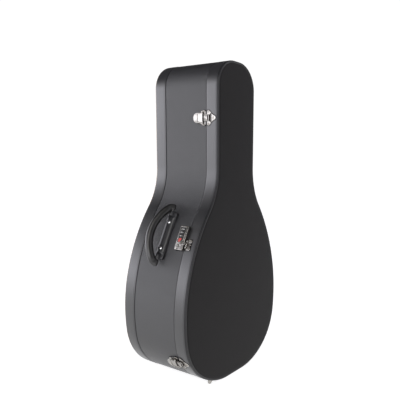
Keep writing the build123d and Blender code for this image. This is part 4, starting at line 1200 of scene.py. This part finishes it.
# ---------------------------------------------------------------------------
# floor, light, camera
# ---------------------------------------------------------------------------
bm = bmesh.new()
bmesh.ops.create_grid(bm, x_segments=2, y_segments=2, size=9.0)
me = bpy.data.meshes.new("floor")
bm.to_mesh(me)
bm.free()
floor = bpy.data.objects.new("floor", me)
bpy.context.scene.collection.objects.link(floor)
floor.location = (0, 0, CAD_BOX[0][2] - 0.0008)
fm, nt, b = new_mat("floor_white")
b.inputs["Base Color"].default_value = (0.86, 0.86, 0.86, 1)
b.inputs["Roughness"].default_value = 0.9
b.inputs["Specular IOR Level"].default_value = 0.1
b.inputs["Emission Color"].default_value = (1, 1, 1, 1)
b.inputs["Emission Strength"].default_value = 0.80
me.materials.append(fm)

world = bpy.data.worlds.new("studio")
bpy.context.scene.world = world
world.use_nodes = True
nt = world.node_tree
nt.nodes.clear()
wo = nt.nodes.new("ShaderNodeOutputWorld")
tc = nt.nodes.new("ShaderNodeTexCoord")
sep = nt.nodes.new("ShaderNodeSeparateXYZ")
nt.links.new(tc.outputs["Generated"], sep.inputs[0])


def wmath(op, a, b=None, clamp=False):
    m = nt.nodes.new("ShaderNodeMath")
    m.operation = op
    m.use_clamp = clamp
    for sock, v in zip(m.inputs, (a, b)):
        if v is None:
            continue
        if isinstance(v, (int, float)):
            sock.default_value = v
        else:
            nt.links.new(v, sock)
    return m.outputs[0]


side_c = wmath("ADD", wmath("MULTIPLY", sep.outputs[0], -0.80), wmath("MULTIPLY", sep.outputs[1], 0.60))
A = nt.nodes.new("ShaderNodeMapRange")
A.interpolation_type = "SMOOTHSTEP"
A.inputs[1].default_value, A.inputs[2].default_value = 0.05, 0.85
A.inputs[3].default_value, A.inputs[4].default_value = 0.0, 1.0
nt.links.new(side_c, A.inputs[0])
B = nt.nodes.new("ShaderNodeMapRange")
B.interpolation_type = "SMOOTHSTEP"
B.inputs[1].default_value, B.inputs[2].default_value = 0.12, 0.50
B.inputs[3].default_value, B.inputs[4].default_value = 1.0, 0.0
nt.links.new(sep.outputs[2], B.inputs[0])
glow = wmath("MULTIPLY", wmath("MULTIPLY", A.outputs[0], B.outputs[0]), 3.7)
# weak fill from the front right, for the lid face
side_r = wmath("ADD", wmath("MULTIPLY", sep.outputs[0], 0.62), wmath("MULTIPLY", sep.outputs[1], -0.78))
C = nt.nodes.new("ShaderNodeMapRange")
C.interpolation_type = "SMOOTHSTEP"
C.inputs[1].default_value, C.inputs[2].default_value = 0.1, 0.9
C.inputs[3].default_value, C.inputs[4].default_value = 0.0, 1.0
nt.links.new(side_r, C.inputs[0])
D = nt.nodes.new("ShaderNodeMapRange")
D.interpolation_type = "SMOOTHSTEP"
D.inputs[1].default_value, D.inputs[2].default_value = -0.30, 0.06
D.inputs[3].default_value, D.inputs[4].default_value = 0.0, 1.0
nt.links.new(sep.outputs[2], D.inputs[0])
fill = wmath("MULTIPLY", wmath("MULTIPLY", C.outputs[0], D.outputs[0]), 0.80)
rad = wmath("ADD", wmath("ADD", glow, fill), 0.08)
lp = nt.nodes.new("ShaderNodeLightPath")
bg1 = nt.nodes.new("ShaderNodeBackground")
nt.links.new(rad, bg1.inputs["Strength"])
bg1.inputs["Color"].default_value = (0.965, 0.96, 1.03, 1)
bg2 = nt.nodes.new("ShaderNodeBackground")
bg2.inputs["Color"].default_value = (1, 1, 1, 1)
bg2.inputs["Strength"].default_value = 1.05
mx = nt.nodes.new("ShaderNodeMixShader")
nt.links.new(lp.outputs["Is Camera Ray"], mx.inputs[0])
nt.links.new(bg1.outputs[0], mx.inputs[1])
nt.links.new(bg2.outputs[0], mx.inputs[2])
nt.links.new(mx.outputs[0], wo.inputs[0])


def area(name, loc, target, size, power, color=(1, 1, 1)):
    li = bpy.data.lights.new(name, "AREA")
    li.shape = "RECTANGLE"
    li.size, li.size_y = size
    li.energy = power
    li.color = color
    o = bpy.data.objects.new(name, li)
    bpy.context.scene.collection.objects.link(o)
    o.location = loc
    d = Vector(target) - Vector(loc)
    o.rotation_euler = d.to_track_quat("-Z", "Y").to_euler()
    return o


area("top_soft", (-0.3, -1.6, 3.2), (0, 0, 0.3), (2.2, 2.2), 4.5)
area("key_left", (-2.6, -0.6, 1.9), (-0.1, 0, 0.4), (1.0, 1.2), 16.0, (1.0, 0.98, 0.95))

area("kick_up", (-1.2, 1.23, 1.49), (-0.147, -0.05, 0.377), (0.5, 0.5), 0.5, (1.0, 0.97, 0.93))

az, el, roll = -1.0039531, 0.1531411, 0.0172612
back = Vector((math.sin(az) * math.cos(el), -math.cos(az) * math.cos(el), math.sin(el)))
fwd = -back
right = fwd.cross(Vector((0, 0, 1))).normalized()
up = right.cross(fwd).normalized()
r2 = math.cos(roll) * right + math.sin(roll) * up
u2 = -math.sin(roll) * right + math.cos(roll) * up
cam = bpy.data.cameras.new("camera")
co = bpy.data.objects.new("camera", cam)
bpy.context.scene.collection.objects.link(co)
m = Matrix.Identity(4)
for i in range(3):
    m[i][0], m[i][1], m[i][2] = r2[i], u2[i], back[i]
m[0][3], m[1][3], m[2][3] = -0.973063, -0.805658, 0.561778
co.matrix_world = m
cam.sensor_width = 36.0
cam.lens = 42.452
cam.shift_x, cam.shift_y = -0.15908, 0.08490
cam.clip_start = 0.02
bpy.context.scene.camera = co
bpy.context.scene.view_settings.view_transform = "Standard"
